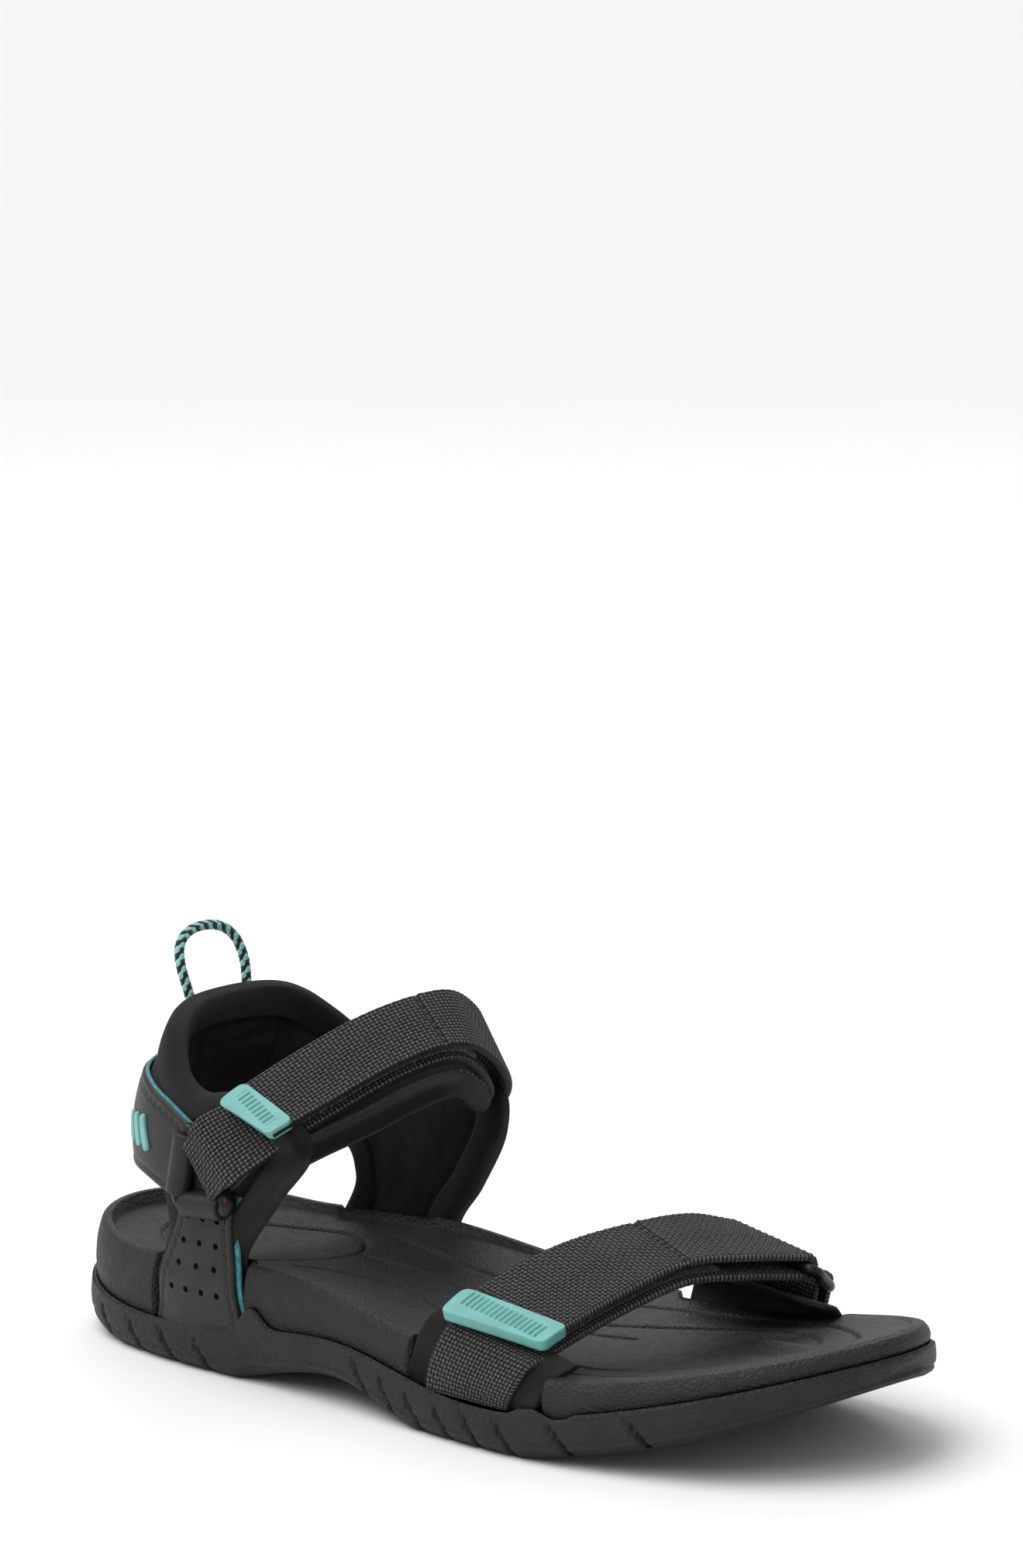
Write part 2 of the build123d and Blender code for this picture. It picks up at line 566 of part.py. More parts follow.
def build_parts():
    parts = {}
    outer, lining, seat, core = make_collar()
    parts["heel_collar_outer"] = outer
    parts["heel_collar_lining"] = lining
    parts["pull_loop_seat"] = seat
    parts["pull_loop"] = make_pull_loop()
    rings = make_ankle(parts, core)
    for name, ring, side in (("lateral", rings[0], -1), ("medial", rings[1], 1)):
        parts[f"{name}_ring"] = wire_ring(ring, RING_BAR)
        parts[f"{name}_side_tab"], parts[f"{name}_tab_backing"] = make_side_tab(ring, side)
        carve(parts, f"{name}_side_tab", parts["ankle_strap_lower"])
    parts["heel_strap"] = make_heel_strap(rings)
    carve(parts, "heel_strap", parts["ankle_strap_lower"], parts["lateral_side_tab"], parts["medial_side_tab"])
    parts["heel_emblem"] = make_emblem()
    make_forefoot(parts)

    outsole, midsole, footbed = make_sole()
    shank, heel_pad = make_inserts()
    parts["shank"] = shank
    parts["heel_shock_pad"] = heel_pad
    parts["outsole"] = outsole
    slots = sole_slots()
    parts["midsole"] = midsole
    parts["footbed"] = footbed
    carve(parts, "midsole", shank, heel_pad, *slots)
    carve(parts, "footbed", *slots)
    return parts


if __name__ == "__main__":
    os.makedirs("parts", exist_ok=True)
    for name, solid in build_parts().items():
        export_step(solid, f"parts/{name}.step")
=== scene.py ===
from math import ceil, cos, pi, radians, sin

import bmesh
import bpy
import numpy as np
from mathutils import Matrix, Vector


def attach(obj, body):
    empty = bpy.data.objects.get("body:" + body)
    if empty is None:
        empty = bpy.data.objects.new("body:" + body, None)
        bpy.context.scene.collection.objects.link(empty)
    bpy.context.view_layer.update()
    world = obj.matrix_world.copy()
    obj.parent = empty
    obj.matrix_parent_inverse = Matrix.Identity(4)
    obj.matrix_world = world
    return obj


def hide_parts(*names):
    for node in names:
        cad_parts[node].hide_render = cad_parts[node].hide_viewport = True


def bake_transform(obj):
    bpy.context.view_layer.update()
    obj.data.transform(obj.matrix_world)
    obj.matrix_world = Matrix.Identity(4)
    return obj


# Strappy sport sandal. All shapes are worked out in millimetres and stored in metres.
MM = 0.001
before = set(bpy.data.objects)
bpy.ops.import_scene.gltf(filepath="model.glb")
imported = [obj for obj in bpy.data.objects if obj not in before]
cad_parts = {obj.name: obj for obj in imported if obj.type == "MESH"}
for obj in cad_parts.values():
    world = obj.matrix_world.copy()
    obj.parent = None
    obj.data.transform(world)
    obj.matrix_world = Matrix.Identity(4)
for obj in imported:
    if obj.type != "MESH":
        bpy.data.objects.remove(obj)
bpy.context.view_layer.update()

# ---- the sandal's measures: toe along +x, inner side of the foot along +y -------
LATERAL_RIM = [(-117.6, -17.5), (-105.8, -27), (-88, -32.8), (-63, -35.8), (-38, -36.8), (-12, -38.8),
               (13, -42), (38, -44.4), (57, -44.1), (77, -40.2), (96, -33.3), (108.8, -23.5), (118.4, -11)]
MEDIAL_RIM = [(118.4, 21), (108.6, 32.8), (96, 40.3), (76, 44.4), (56, 44.4), (38, 41), (13, 35),
              (-12, 31), (-38, 30.2), (-63, 31), (-88, 32.2), (-106, 29.5), (-117.6, 20)]
HEEL_TIP = (-124.75, 1)
TOE_TIP = (123, 6.5)
RIM_LINE = [(-140, 30.5), (-118, 28.5), (-91, 26.3), (-70, 28), (-52, 29.5), (-13, 27), (26, 21.5),
            (57, 20.5), (91, 25), (140, 37)]
GROOVE_LINE = [(-140, 19), (-91, 12), (-52, 14), (-13, 17.5), (26, 12.3), (57, 13), (91, 20), (140, 34.5)]
HEEL_FLAT = (-100.0, -52.0)
BALL_FLAT = (14.0, 52.0)
ARCH = [(-52, 0), (-34, 4.5), (-13, 6.5), (4, 2.5), (14, 0)]
TOE_SPRING = [(52, 0), (91, 8.5), (115, 17), (140, 29)]
HEEL_RISE = [(-140, 6), (-100, 0)]
DISH = [(-140, 1), (-91, 5.5), (-52, 5), (-13, 3), (26, 2), (57, 2), (91, 1.5), (140, 0.5)]
TREAD_DEPTH = 2.5
TREAD_WIDTH = 3.0
TREAD_PITCH = 12.0
SIPES = [-112, -99, -86, -73, -60, -1, 9, 19, 29, 39, 50, 66, 86]
SIPE_HEIGHT = 9.0
MARK_DEPTH = 0.85
AROUND = 1440              # points round the sole

COLLAR_THICK = 4.6
COLLAR_LEVELS = [(4, 39.6, 33.0, -103), (14, 38.8, 34.5, -103.5), (30, 37.4, 36.6, -104),
                 (45, 36.8, 37.0, -104.5), (57, 36.6, 37.0, -105), (70, 35.5, 36.0, -101),
                 (82, 32.5, 33.0, -95.5), (92, 29.0, 29.5, -91)]
COLLAR_CENTRE = -60.0
COLLAR_BULGE = 2.4
HEEL_LONG, HEEL_HALF = 45.0, 36.8   # the collar's plan behind its centre, at mid height
BINDING = 7.5              # width of the collar's rolled edge binding
TAB_HOLES = [(39.5, 3, 5.0), (33, 3, 5.6), (27, 3, 6.2), (20.5, 4, 5.4)]
HOLE_RADIUS = 0.85

ANKLE_FLAP = [((-46.6, -43.4, 64.6), (0.93, -0.14, -0.29)), ((-43, -39.2, 69.5), (0.91, -0.18, -0.35)),
              ((-35, -25.6, 77.9), (0.87, -0.21, -0.44)), ((-26.8, -12.4, 85.5), (0.85, -0.25, -0.46)),
              ((-20.5, 0.3, 89.5), (0.83, -0.29, -0.47)), ((-18.4, 11.2, 88.3), (0.76, -0.27, -0.59)),
              ((-23.2, 25.6, 80), (0.68, -0.17, -0.71)), ((-33, 37.6, 71.4), (0.64, -0.10, -0.76)),
              ((-43, 43.4, 64), (0.62, -0.05, -0.78)), ((-54, 45.2, 56), (0.62, 0.0, -0.78))]
ANKLE_LEAD = [((-58.0, -43.6, 53.8), (0.62, -0.03, -0.785)), ((-51.5, -43.2, 60), (0.74, -0.06, -0.67))]
FOREFOOT_FLAP = [((40.7, -46, 29.3), (0.98, 0.04, -0.18)), ((41.5, -36.8, 33.2), (0.977, 0.02, -0.21)),
                 ((46.4, -16.2, 40.2), (0.953, -0.19, -0.236)), ((52.7, 2.8, 44.5), (0.93, -0.33, -0.14)),
                 ((57.5, 19.4, 44), (0.955, -0.22, -0.19)), ((60.6, 34.6, 41), (0.985, -0.05, -0.16))]
FOREFOOT_BASE = [((33, -46.0, 11.0), (1, -0.05, 0)), ((35.2, -46.7, 17), (0.99, -0.05, -0.12)),
                 ((39, -44.8, 25), (0.98, 0.0, -0.17))]
FOREFOOT_LINING = [((33, -43.9, 11.0), (1, -0.05, 0)), ((35.2, -44.6, 17), (0.99, -0.05, -0.12)),
                   ((38.4, -42.6, 24.0), (0.98, 0.0, -0.17)), ((41, -36.8, 27.8), (0.97, 0.0, -0.20))]
MEDIAL_ANCHOR = [((58.0, 45.9, 31.5), (0.985, -0.02, -0.15)), ((55, 46.9, 23.5), (0.985, -0.02, -0.15)),
                 ((52, 46.4, 16.5), (0.99, 0.05, -0.1)), ((51.5, 45.6, 11.0), (1, 0.05, 0))]
MEDIAL_LINING = [((56.5, 33.5, 28.6), (0.985, -0.02, -0.05)), ((55.5, 38.6, 26.8), (0.985, -0.02, -0.05)),
                 ((53.5, 42.8, 22.0), (0.985, 0.02, -0.05)), ((52, 43.7, 17), (0.99, 0.05, -0.02)),
                 ((52, 43.2, 11.4), (1, 0.05, 0))]
WEAVE = 1.1                # pitch of the webbing's yarns
WEAVE_START = 200 * WEAVE  # keeps places across a strap above 0
WEBBING_THICK = 1.8
FASTENER_THICK = 1.2
FLAP_GAP = 0.8
LOWER_DEPTH = WEBBING_THICK + 2 * FASTENER_THICK + FLAP_GAP
FOLD_RADIUS = (LOWER_DEPTH + WEBBING_THICK) / 2
LOOP_TOP = WEBBING_THICK + FASTENER_THICK + FLAP_GAP
ANKLE_WIDE, ANKLE_FOLD, FOREFOOT_WIDE = 20.0, 16.5, 28.0
TAB_SKEW = -0.12           # how far the pull tabs lean, mm across per mm along
PAD_THICK = 5.2
PAD_RIM = 6.0              # width of the instep pad's rolled edge strips
RING_BAR = 1.5
SLEEVE_RADIUS = 3.3
RING_REACH = 4.1
FLAT_RING_REACH = 2.3
LATERAL_RING_CORNER = (-69.5, -40.3, 42.5)
MEDIAL_RING_CORNER = (-68, 41.0, 42.5)
LOOP_CORD = 2.6
BRAID_PITCH = 3.1
LOOP_FOOT = (-93.6, 10.0, 85.4)
LOOP_HALF = [(-94.4, 10.8, 89.6), (-96.0, 11.3, 94.4), (-98.0, 9.8, 99.6), (-99.2, 4.4, 102.6)]


def new_object(name, data):
    """Object with that data, in the scene."""
    thing = bpy.data.objects.new(name, data)
    bpy.context.collection.objects.link(thing)
    return thing


# ---- camera -------------------------------------------------------------------
def make_camera():
    """Camera at the viewing angle, square on to its aim, with a small roll."""
    place = Vector((1.2638, -1.3648, 0.4987))
    aim = Vector((-0.0146, 0.0241, 0.1459))
    camera = new_object("camera", bpy.data.cameras.new("camera"))
    camera.data.lens = 178.2
    camera.data.clip_end = 20
    turn = (aim - place).to_track_quat("-Z", "Y").to_matrix() @ Matrix.Rotation(radians(-0.4), 3, "Z")
    camera.matrix_world = Matrix.Translation(place) @ turn.to_4x4()
    bpy.context.scene.camera = camera


# ---- curves -------------------------------------------------------------------
def cubic(rows, x):
    """Value at x on the natural cubic through rows of (x, value)."""
    knots, values = np.array(rows, float).T
    step = np.diff(knots)
    rise = np.diff(values) / step
    size = len(knots)
    system = np.eye(size)
    right = np.zeros(size)
    for i in range(1, size - 1):
        system[i, i - 1:i + 2] = step[i - 1], 2 * (step[i - 1] + step[i]), step[i]
        right[i] = 6 * (rise[i] - rise[i - 1])
    bend = np.linalg.solve(system, right)
    i = np.clip(np.searchsorted(knots, x) - 1, 0, size - 2)
    u = x - knots[i]
    slope = rise[i] - step[i] * (2 * bend[i] + bend[i + 1]) / 6
    return values[i] + u * (slope + u * (bend[i] / 2 + u * (bend[i + 1] - bend[i]) / (6 * step[i])))


def lengths(points):
    return np.concatenate([[0], np.cumsum(np.linalg.norm(np.diff(points, axis=0), axis=1))])


def resample(points, count):
    """count points, evenly spaced along the broken line."""
    along = lengths(points)
    places = np.linspace(0, along[-1], count)
    return np.stack([np.interp(places, along, column) for column in points.T], 1)


def smooth_line(points, count, closed=False):
    """Smooth line through points; a closed one leaves out its repeated last point."""
    points = np.array(points, float)
    size = len(points)
    if closed:
        points = np.concatenate([points[-4:], points, points[:5]])
    along = lengths(points)
    low, high = (along[4], along[4 + size]) if closed else (0, along[-1])
    fine = np.linspace(low, high, 40 * size)
    line = np.stack([cubic(np.stack([along, column], 1), fine) for column in points.T], 1)
    return resample(line, count + 1)[:-1] if closed else resample(line, count)


def flowing(values, place):
    """Points at place on the smooth line that meets values at 0, 1, 2 and so on."""
    i = np.minimum(place.astype(int), len(values) - 2)
    u = (place - i)[:, None]
    padded = np.concatenate([[2 * values[0] - values[1]], values, [2 * values[-1] - values[-2]]])
    p0, p1, p2, p3 = (padded[i + k] for k in range(4))
    bend = (2 * p0 - 5 * p1 + 4 * p2 - p3) + (3 * p1 - p0 - 3 * p2 + p3) * u
    return 0.5 * (2 * p1 + (p2 - p0) * u + bend * u * u)


def smoothstep(x):
    x = np.clip(x, 0, 1)
    return x * x * (3 - 2 * x)


def window(x, low, high, soft):
    """1 between low and high, falling to 0 over soft at each end."""
    return smoothstep((x - low) / soft + 0.5) * smoothstep((high - x) / soft + 0.5)


def dent(distance, width):
    return np.exp(-(distance / width) ** 2)


def near_line(points, line):
    """Distance from each of points to a broken line, in a plane."""
    best = np.full(len(points), 1e9)
    for start, end in zip(line[:-1], line[1:]):
        run = end - start
        share = np.clip(((points - start) @ run) / (run @ run), 0, 1)
        gap = points - start - share[:, None] * run
        best = np.minimum(best, np.einsum("ij,ij->i", gap, gap))
    return np.sqrt(best)


# ---- meshes -------------------------------------------------------------------
def grid_faces(rows, cols, close_rows=False, close_cols=False):
    r = np.arange(rows if close_rows else rows - 1)[:, None]
    c = np.arange(cols if close_cols else cols - 1)[None]
    here, there = r * cols, (r + 1) % rows * cols
    side = (c + 1) % cols
    return np.stack([here + c, here + side, there + side, there + c], -1).reshape(-1, 4)


def add_piece(name, points, faces, finish, body="root", nodes=(), uv=None):
    """Closed mesh of quads, in millimetres, as a piece that rides on a body."""
    mesh = bpy.data.meshes.new(name)
    mesh.vertices.add(len(points))
    mesh.vertices.foreach_set("co", (np.asarray(points) * MM).ravel())
    mesh.loops.add(4 * len(faces))
    mesh.loops.foreach_set("vertex_index", faces.ravel())
    mesh.polygons.add(len(faces))
    mesh.polygons.foreach_set("loop_start", np.arange(len(faces)) * 4)
    mesh.update(calc_edges=True)
    layer = mesh.uv_layers.new(name="UVMap")
    if uv is None:
        uv = np.asarray(points)[:, :2]
    layer.data.foreach_set("uv", uv[faces.ravel()].ravel())
    shape = bmesh.new()
    shape.from_mesh(mesh)
    bmesh.ops.remove_doubles(shape, verts=shape.verts, dist=2e-6)
    bmesh.ops.dissolve_degenerate(shape, dist=1e-6, edges=shape.edges)
    bmesh.ops.recalc_face_normals(shape, faces=shape.faces)
    for face in shape.faces:
        face.smooth = True
    shape.to_mesh(mesh)
    shape.free()
    mesh.materials.append(finish)
    return claim(new_object(name, mesh), body, nodes)


def add_sheet(name, top, bottom, uv, finish, body="root", nodes=(), under_uv=None):
    """Closed piece between two grids of points, with quads across its two ends."""
    under_uv = uv if under_uv is None else under_uv
    points = np.concatenate([top, bottom[:, ::-1]], 1)
    uv = np.concatenate([uv, under_uv[:, ::-1]], 1)
    rows, size = points.shape[:2]
    faces = [grid_faces(rows, size, close_cols=True)]
    step = np.arange(size // 2 - 1)
    for row in (0, rows - 1):
        low, high = row * size + step, row * size + size - 1 - step
        faces.append(np.stack([low, low + 1, high - 1, high], 1))
    return add_piece(name, points.reshape(-1, 3), np.concatenate(faces), finish, body, nodes,
                     uv.reshape(-1, 2))


def claim(piece, body="root", nodes=()):
    """Attach the piece to the body of that name and hide the solids it stands for; a piece given no body is
    left unattached.
    """
    if body:
        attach(piece, body)
    if nodes:
        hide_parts(*nodes)
    return piece


# ---- finishes -----------------------------------------------------------------
class Finish:
    """A Principled material and a few ways to add detail to it; distances are in millimetres."""

    def __init__(self, name, colour, roughness, **sockets):
        self.material = bpy.data.materials.new(name)
        self.material.use_nodes = True
        self.tree = self.material.node_tree
        self.shader = self.tree.nodes["Principled BSDF"]
        self.shader.inputs["Base Color"].default_value = (*colour, 1)
        self.shader.inputs["Roughness"].default_value = roughness
        self.shader.inputs["Specular IOR Level"].default_value = 0.3
        for socket, value in sockets.items():
            self.shader.inputs[socket.replace("_", " ")].default_value = value
        self.normal = None

    def node(self, kind, *inputs, **settings):
        node = self.tree.nodes.new(kind)
        for key, value in settings.items():
            setattr(node, key, value)
        for socket, value in zip(node.inputs, inputs):
            if isinstance(value, bpy.types.NodeSocket):
                self.tree.links.new(value, socket)
            elif value is not None:
                socket.default_value = value
        return node.outputs[0]

    def math(self, operation, *inputs):
        return self.node("ShaderNodeMath", *inputs, operation=operation)

    def place(self, kind="Object", scale=(1000, 1000, 1000), turn=(0, 0, 0)):
        """Coordinates in millimetres: Object, or UV where the mesh stores them in millimetres."""
        source = self.tree.nodes.new("ShaderNodeTexCoord")
        return self.node("ShaderNodeMapping", source.outputs[kind], None, turn, scale)

    def noise(self, size, detail=3):
        return self.node("ShaderNodeTexNoise", self.place(), None, 1 / size, detail)

    def cells(self, size):
        return self.node("ShaderNodeTexVoronoi", self.place(), None, 1 / size)

    def colour(self, factor, stops):
        """Base colour from a factor, through stops of (place, colour)."""
        ramp = self.tree.nodes.new("ShaderNodeValToRGB")
        while len(ramp.color_ramp.elements) < len(stops):
            ramp.color_ramp.elements.new(0.5)
        for element, (place, colour) in zip(ramp.color_ramp.elements, stops):
            element.position = place
            element.color = (*colour, 1)
        self.tree.links.new(factor, ramp.inputs[0])
        self.tree.links.new(ramp.outputs[0], self.shader.inputs["Base Color"])

    def mottle(self, size, low, high, detail=3):
        """Base colour that wanders between low and high in patches of about size."""
        self.colour(self.noise(size, detail), [(0.3, low), (0.7, high)])

    def uv_parts(self, place):
        """The first two parts of a place, each on its own."""
        split = self.tree.nodes.new("ShaderNodeSeparateXYZ")
        self.tree.links.new(place, split.inputs[0])
        return split.outputs[0], split.outputs[1]

    def roughness(self, factor, low, high):
        value = self.math("MULTIPLY_ADD", factor, high - low, low)
        self.tree.links.new(value, self.shader.inputs["Roughness"])

    def bump(self, height, depth, strength=1.0):
        """Relief of depth millimetres, on top of any that is there already."""
        node = self.tree.nodes.new("ShaderNodeBump")
        node.inputs["Strength"].default_value = strength
        node.inputs["Distance"].default_value = depth * MM
        self.tree.links.new(height, node.inputs["Height"])
        if self.normal:
            self.tree.links.new(self.normal, node.inputs["Normal"])
        self.normal = node.outputs["Normal"]
        self.tree.links.new(self.normal, self.shader.inputs["Normal"])


def moulded_foam():
    foam = Finish("moulded_foam", (0.01, 0.0097, 0.0093), 0.5, Specular_IOR_Level=0.4)
    grain = foam.cells(0.75)
    foam.bump(grain, 0.34, 1.0)
    foam.bump(foam.noise(0.45, 4), 0.22, 0.9)
    foam.mottle(9, (0.007, 0.0068, 0.0065), (0.012, 0.0117, 0.0112))
    foam.roughness(foam.noise(2.5), 0.42, 0.66)
    return foam.material


def tread_rubber():
    rubber = Finish("tread_rubber", (0.014, 0.0135, 0.0135), 0.6)
    rubber.bump(rubber.noise(0.6, 4), 0.10, 0.6)
    rubber.mottle(14, (0.006, 0.0058, 0.0057), (0.011, 0.0106, 0.0104))
    rubber.roughness(rubber.noise(3), 0.5, 0.68)
    return rubber.material


def woven_webbing():
    webbing = Finish("woven_webbing", (0.05, 0.045, 0.047), 0.7, Sheen_Weight=0.1, Sheen_Roughness=0.4,
                     Specular_IOR_Level=0.15)
    place = webbing.place("UV", (1, 1, 1))
    phases = [webbing.math("MULTIPLY", part, pi / WEAVE) for part in webbing.uv_parts(place)]
    waves = [webbing.math("SINE", phase) for phase in phases]
    knot = webbing.math("MULTIPLY", *waves)
    level = webbing.math("MULTIPLY_ADD", knot, 0.5, 0.5)
    # Colour factor from the knot relief plus random tone: its ends give painted highlight on the knot crowns,
    # its middle gives painted shade in the gaps.
    tone_knot_light_and_gap_shade = webbing.math("ADD", level, webbing.math("MULTIPLY_ADD", webbing.noise(1.6, 3), 0.36, -0.18))
    # gap is painted shade between the knots; the light end stops of the ramp are painted highlight on the
    # knot crowns.
    middling, gap = (0.045, 0.04, 0.042), (0.002, 0.0018, 0.002)
    webbing.colour(tone_knot_light_and_gap_shade, [(0.0, (0.16, 0.145, 0.15)), (0.25, middling), (0.5, gap), (0.75, middling),
                          (1.0, (0.18, 0.162, 0.17))])
    yarn = webbing.node("ShaderNodeTexWave", place, 2.6, 1.2, 2.0)
    webbing.bump(webbing.math("ABSOLUTE", knot), 0.4, 0.8)
    webbing.bump(yarn, 0.06, 0.7)
    return webbing.material


def ribbed_stretch(name, colour, pitch, sheen):
    """Stretch knit with fine slanted ribs; its mesh stores millimetres as UV."""
    knit = Finish(name, colour, 0.85, Sheen_Weight=sheen, Sheen_Roughness=0.35, Specular_IOR_Level=0.1)
    place = knit.place("UV", (1, 1, 1), (0, 0, radians(32)))
    ribs = knit.node("ShaderNodeTexWave", place, 1 / pitch, 0.6, 2.0)
    knit.bump(ribs, 0.16, 0.8)
    knit.bump(knit.noise(0.35, 3), 0.08, 0.7)
    # Colour follows the rib relief: painted shade in the rib valleys and painted highlight on the rib crests,
    # with random tone from the noise.
    dark = tuple(0.6 * value for value in colour)
    knit.colour(knit.math("MULTIPLY_ADD", ribs, 0.6, knit.math("MULTIPLY", knit.noise(6), 0.4)),
                [(0.2, dark), (0.8, tuple(1.5 * value for value in colour))])
    return knit.material


def soft_lining():
    lining = Finish("soft_lining", (0.008, 0.007, 0.0075), 0.9, Sheen_Weight=0.1, Sheen_Roughness=0.3,
                    Specular_IOR_Level=0.1)
    lining.bump(lining.cells(0.5), 0.10, 0.7)
    lining.bump(lining.noise(0.3, 2), 0.06, 0.6)
    lining.mottle(5, (0.013, 0.0112, 0.012), (0.024, 0.021, 0.0222), 4)
    return lining.material


def smooth_leather():
    leather = Finish("smooth_leather", (0.03, 0.028, 0.029), 0.45)
    leather.bump(leather.cells(0.55), 0.05, 0.6)
    leather.bump(leather.noise(3.5, 2), 0.12, 0.4)
    leather.mottle(7, (0.017, 0.0155, 0.0165), (0.026, 0.0238, 0.0252))
    leather.roughness(leather.noise(1.5), 0.38, 0.56)
    return leather.material


def soft_plastic(name, colour):
    plastic = Finish(name, colour, 0.42, Coat_Weight=0.08, Coat_Roughness=0.3)
    plastic.bump(plastic.noise(0.5, 3), 0.04, 0.5)
    low, high = tuple(0.9 * value for value in colour), tuple(min(1.1 * value, 1) for value in colour)
    plastic.mottle(8, low, high)
    return plastic.material


def ring_plastic():
    plastic = Finish("ring_plastic", (0.009, 0.009, 0.0095), 0.33)
    plastic.bump(plastic.noise(0.4, 3), 0.03, 0.5)
    plastic.mottle(5, (0.007, 0.007, 0.0075), (0.012, 0.012, 0.0125))
    plastic.roughness(plastic.noise(2), 0.27, 0.42)
    return plastic.material


def teal_fabric():
    fabric = Finish("teal_fabric", (0.03, 0.22, 0.24), 0.7, Sheen_Weight=0.2)
    fabric.bump(fabric.noise(0.35, 3), 0.08, 0.8)
    fabric.mottle(1.2, (0.018, 0.14, 0.16), (0.05, 0.29, 0.31), 4)
    return fabric.material


def sewing_thread():
    thread = Finish("sewing_thread", (0.012, 0.011, 0.0115), 0.55, Sheen_Weight=0.3)
    thread.bump(thread.noise(0.2, 2), 0.05, 0.8)
    thread.mottle(2, (0.008, 0.0075, 0.008), (0.02, 0.018, 0.019))
    return thread.material


def fastener_pile():
    pile = Finish("fastener_pile", (0.008, 0.0078, 0.008), 0.9, Sheen_Weight=0.5, Sheen_Roughness=0.5)
    pile.bump(pile.cells(0.6), 0.5, 1.0)
    pile.bump(pile.noise(0.3, 4), 0.3, 1.0)
    pile.colour(pile.noise(0.7, 4), [(0.35, (0.003, 0.003, 0.003)), (0.7, (0.018, 0.017, 0.018))])
    return pile.material


def braided_cord():
    """Two-colour braid; the mesh stores millimetres along the cord and turns round it as UV."""
    cord = Finish("braided_cord", (0.2, 0.55, 0.5), 0.6, Sheen_Weight=0.2)
    run, turn = cord.uv_parts(cord.place("UV", (1, 1, 1)))
    along = cord.math("MULTIPLY", run, 2 * pi / BRAID_PITCH)
    around = cord.math("MULTIPLY", turn, 2 * pi * 2)
    right = cord.math("SINE", cord.math("ADD", along, around))
    left = cord.math("SINE", cord.math("SUBTRACT", along, around))
    cross = cord.math("ADD", right, cord.math("MULTIPLY", left, 0.55))
    cord.colour(cord.math("MULTIPLY_ADD", cross, 0.5, 0.5),
                [(0.44, (0.006, 0.006, 0.0065)), (0.56, (0.25, 0.58, 0.55))])
    cord.bump(cord.math("ABSOLUTE", cord.math("MULTIPLY", right, left)), 0.3, 0.8)
    cord.bump(cord.noise(0.25, 2), 0.08, 0.7)
    return cord.material


def pale_floor():
    floor = Finish("pale_floor", (0.9, 0.9, 0.9), 0.8)
    floor.mottle(60, (0.895, 0.895, 0.895), (0.905, 0.905, 0.905))
    return floor.material


make_camera()
FOAM, RUBBER, WEBBING, LINING = moulded_foam(), tread_rubber(), woven_webbing(), soft_lining()
STRETCH = ribbed_stretch("ribbed_stretch", (0.013, 0.012, 0.013), 0.9, 0.12)
ROLLED = ribbed_stretch("rolled_binding", (0.009, 0.008, 0.0085), 0.4, 0.16)
LEATHER, RING, THREAD, PILE = smooth_leather(), ring_plastic(), sewing_thread(), fastener_pile()
TEAL, TEAL_FABRIC, BRAID = soft_plastic("teal_plastic", (0.155, 0.42, 0.40)), teal_fabric(), braided_cord()
INSERT, SHOCK = soft_plastic("shank_plastic", (0.2, 0.2, 0.2)), soft_plastic("shock_foam", (0.1, 0.35, 0.5))


# ---- pull loop ------------------------------------------------------------------
def tube_points(path, radius, sides, flat=1.0, closed=False, normal_hint=(0, 0, 1)):
    """Rings of points round a path, with radius one number or one per point."""
    ends = np.roll(path, -1, 0) - np.roll(path, 1, 0)
    if not closed:
        ends[0], ends[-1] = path[1] - path[0], path[-1] - path[-2]
    forward = ends / np.linalg.norm(ends, axis=1)[:, None]
    side = np.cross(forward, normal_hint)
    side /= np.linalg.norm(side, axis=1)[:, None]
    up = np.cross(side, forward)
    angle = 2 * pi * np.arange(sides) / sides
    radius = np.broadcast_to(radius, len(path))[:, None, None]
    rings = side[:, None] * np.cos(angle)[None, :, None] + flat * up[:, None] * np.sin(angle)[None, :, None]
    return (path[:, None] + radius * rings).reshape(-1, 3)


def make_pull_loop():
    """The loop's route as a smooth spline, and the braided tube that follows it."""
    x, y, z = LOOP_FOOT
    right = [(x, -y, z)] + [(px, -py, pz) for px, py, pz in LOOP_HALF]
    route = right + [(px, -py, pz) for px, py, pz in reversed(right)]
    curve = bpy.data.curves.new("loop_line", "CURVE")
    curve.dimensions = "3D"
    curve.resolution_u = 24
    spline = curve.splines.new("NURBS")
    spline.points.add(len(route) - 1)
    for point, place in zip(spline.points, route):
        point.co = (*(MM * value for value in place), 1)
    spline.order_u = 3
    spline.use_endpoint_u = True
    guide = bpy.data.objects.new("loop_line", curve)
    mesh = bpy.data.meshes.new_from_object(guide)
    line = np.array([tuple(vertex.co) for vertex in mesh.vertices]) / MM
    bpy.data.objects.remove(guide)
    line = resample(line, 260)
    sides = 24
    along = np.repeat(lengths(line), sides + 1)
    turn = np.tile(np.linspace(0, 1, sides + 1), len(line))
    runs = along / BRAID_PITCH
    strands = np.abs(np.sin(2 * pi * (runs + 2 * turn)) * np.sin(2 * pi * (runs - 2 * turn)))
    path = np.repeat(line, sides + 1, 0).reshape(len(line), sides + 1, 3)
    rings = tube_points(line, 1.0, sides, normal_hint=(1, 0, 0)).reshape(len(line), sides, 3)
    rings = np.concatenate([rings, rings[:, :1]], 1)
    radius = LOOP_CORD / 2 * (0.95 + 0.07 * strands).reshape(len(line), sides + 1, 1)
    tube = path + (rings - path) * radius
    tube[0] = line[0]
    tube[-1] = line[-1]
    faces = grid_faces(len(line), sides + 1)
    piece = add_piece("pull_loop_braid", tube.reshape(-1, 3), faces, BRAID, "loop",
                      ["pull_loop"], np.stack([along, turn], 1))


make_pull_loop()


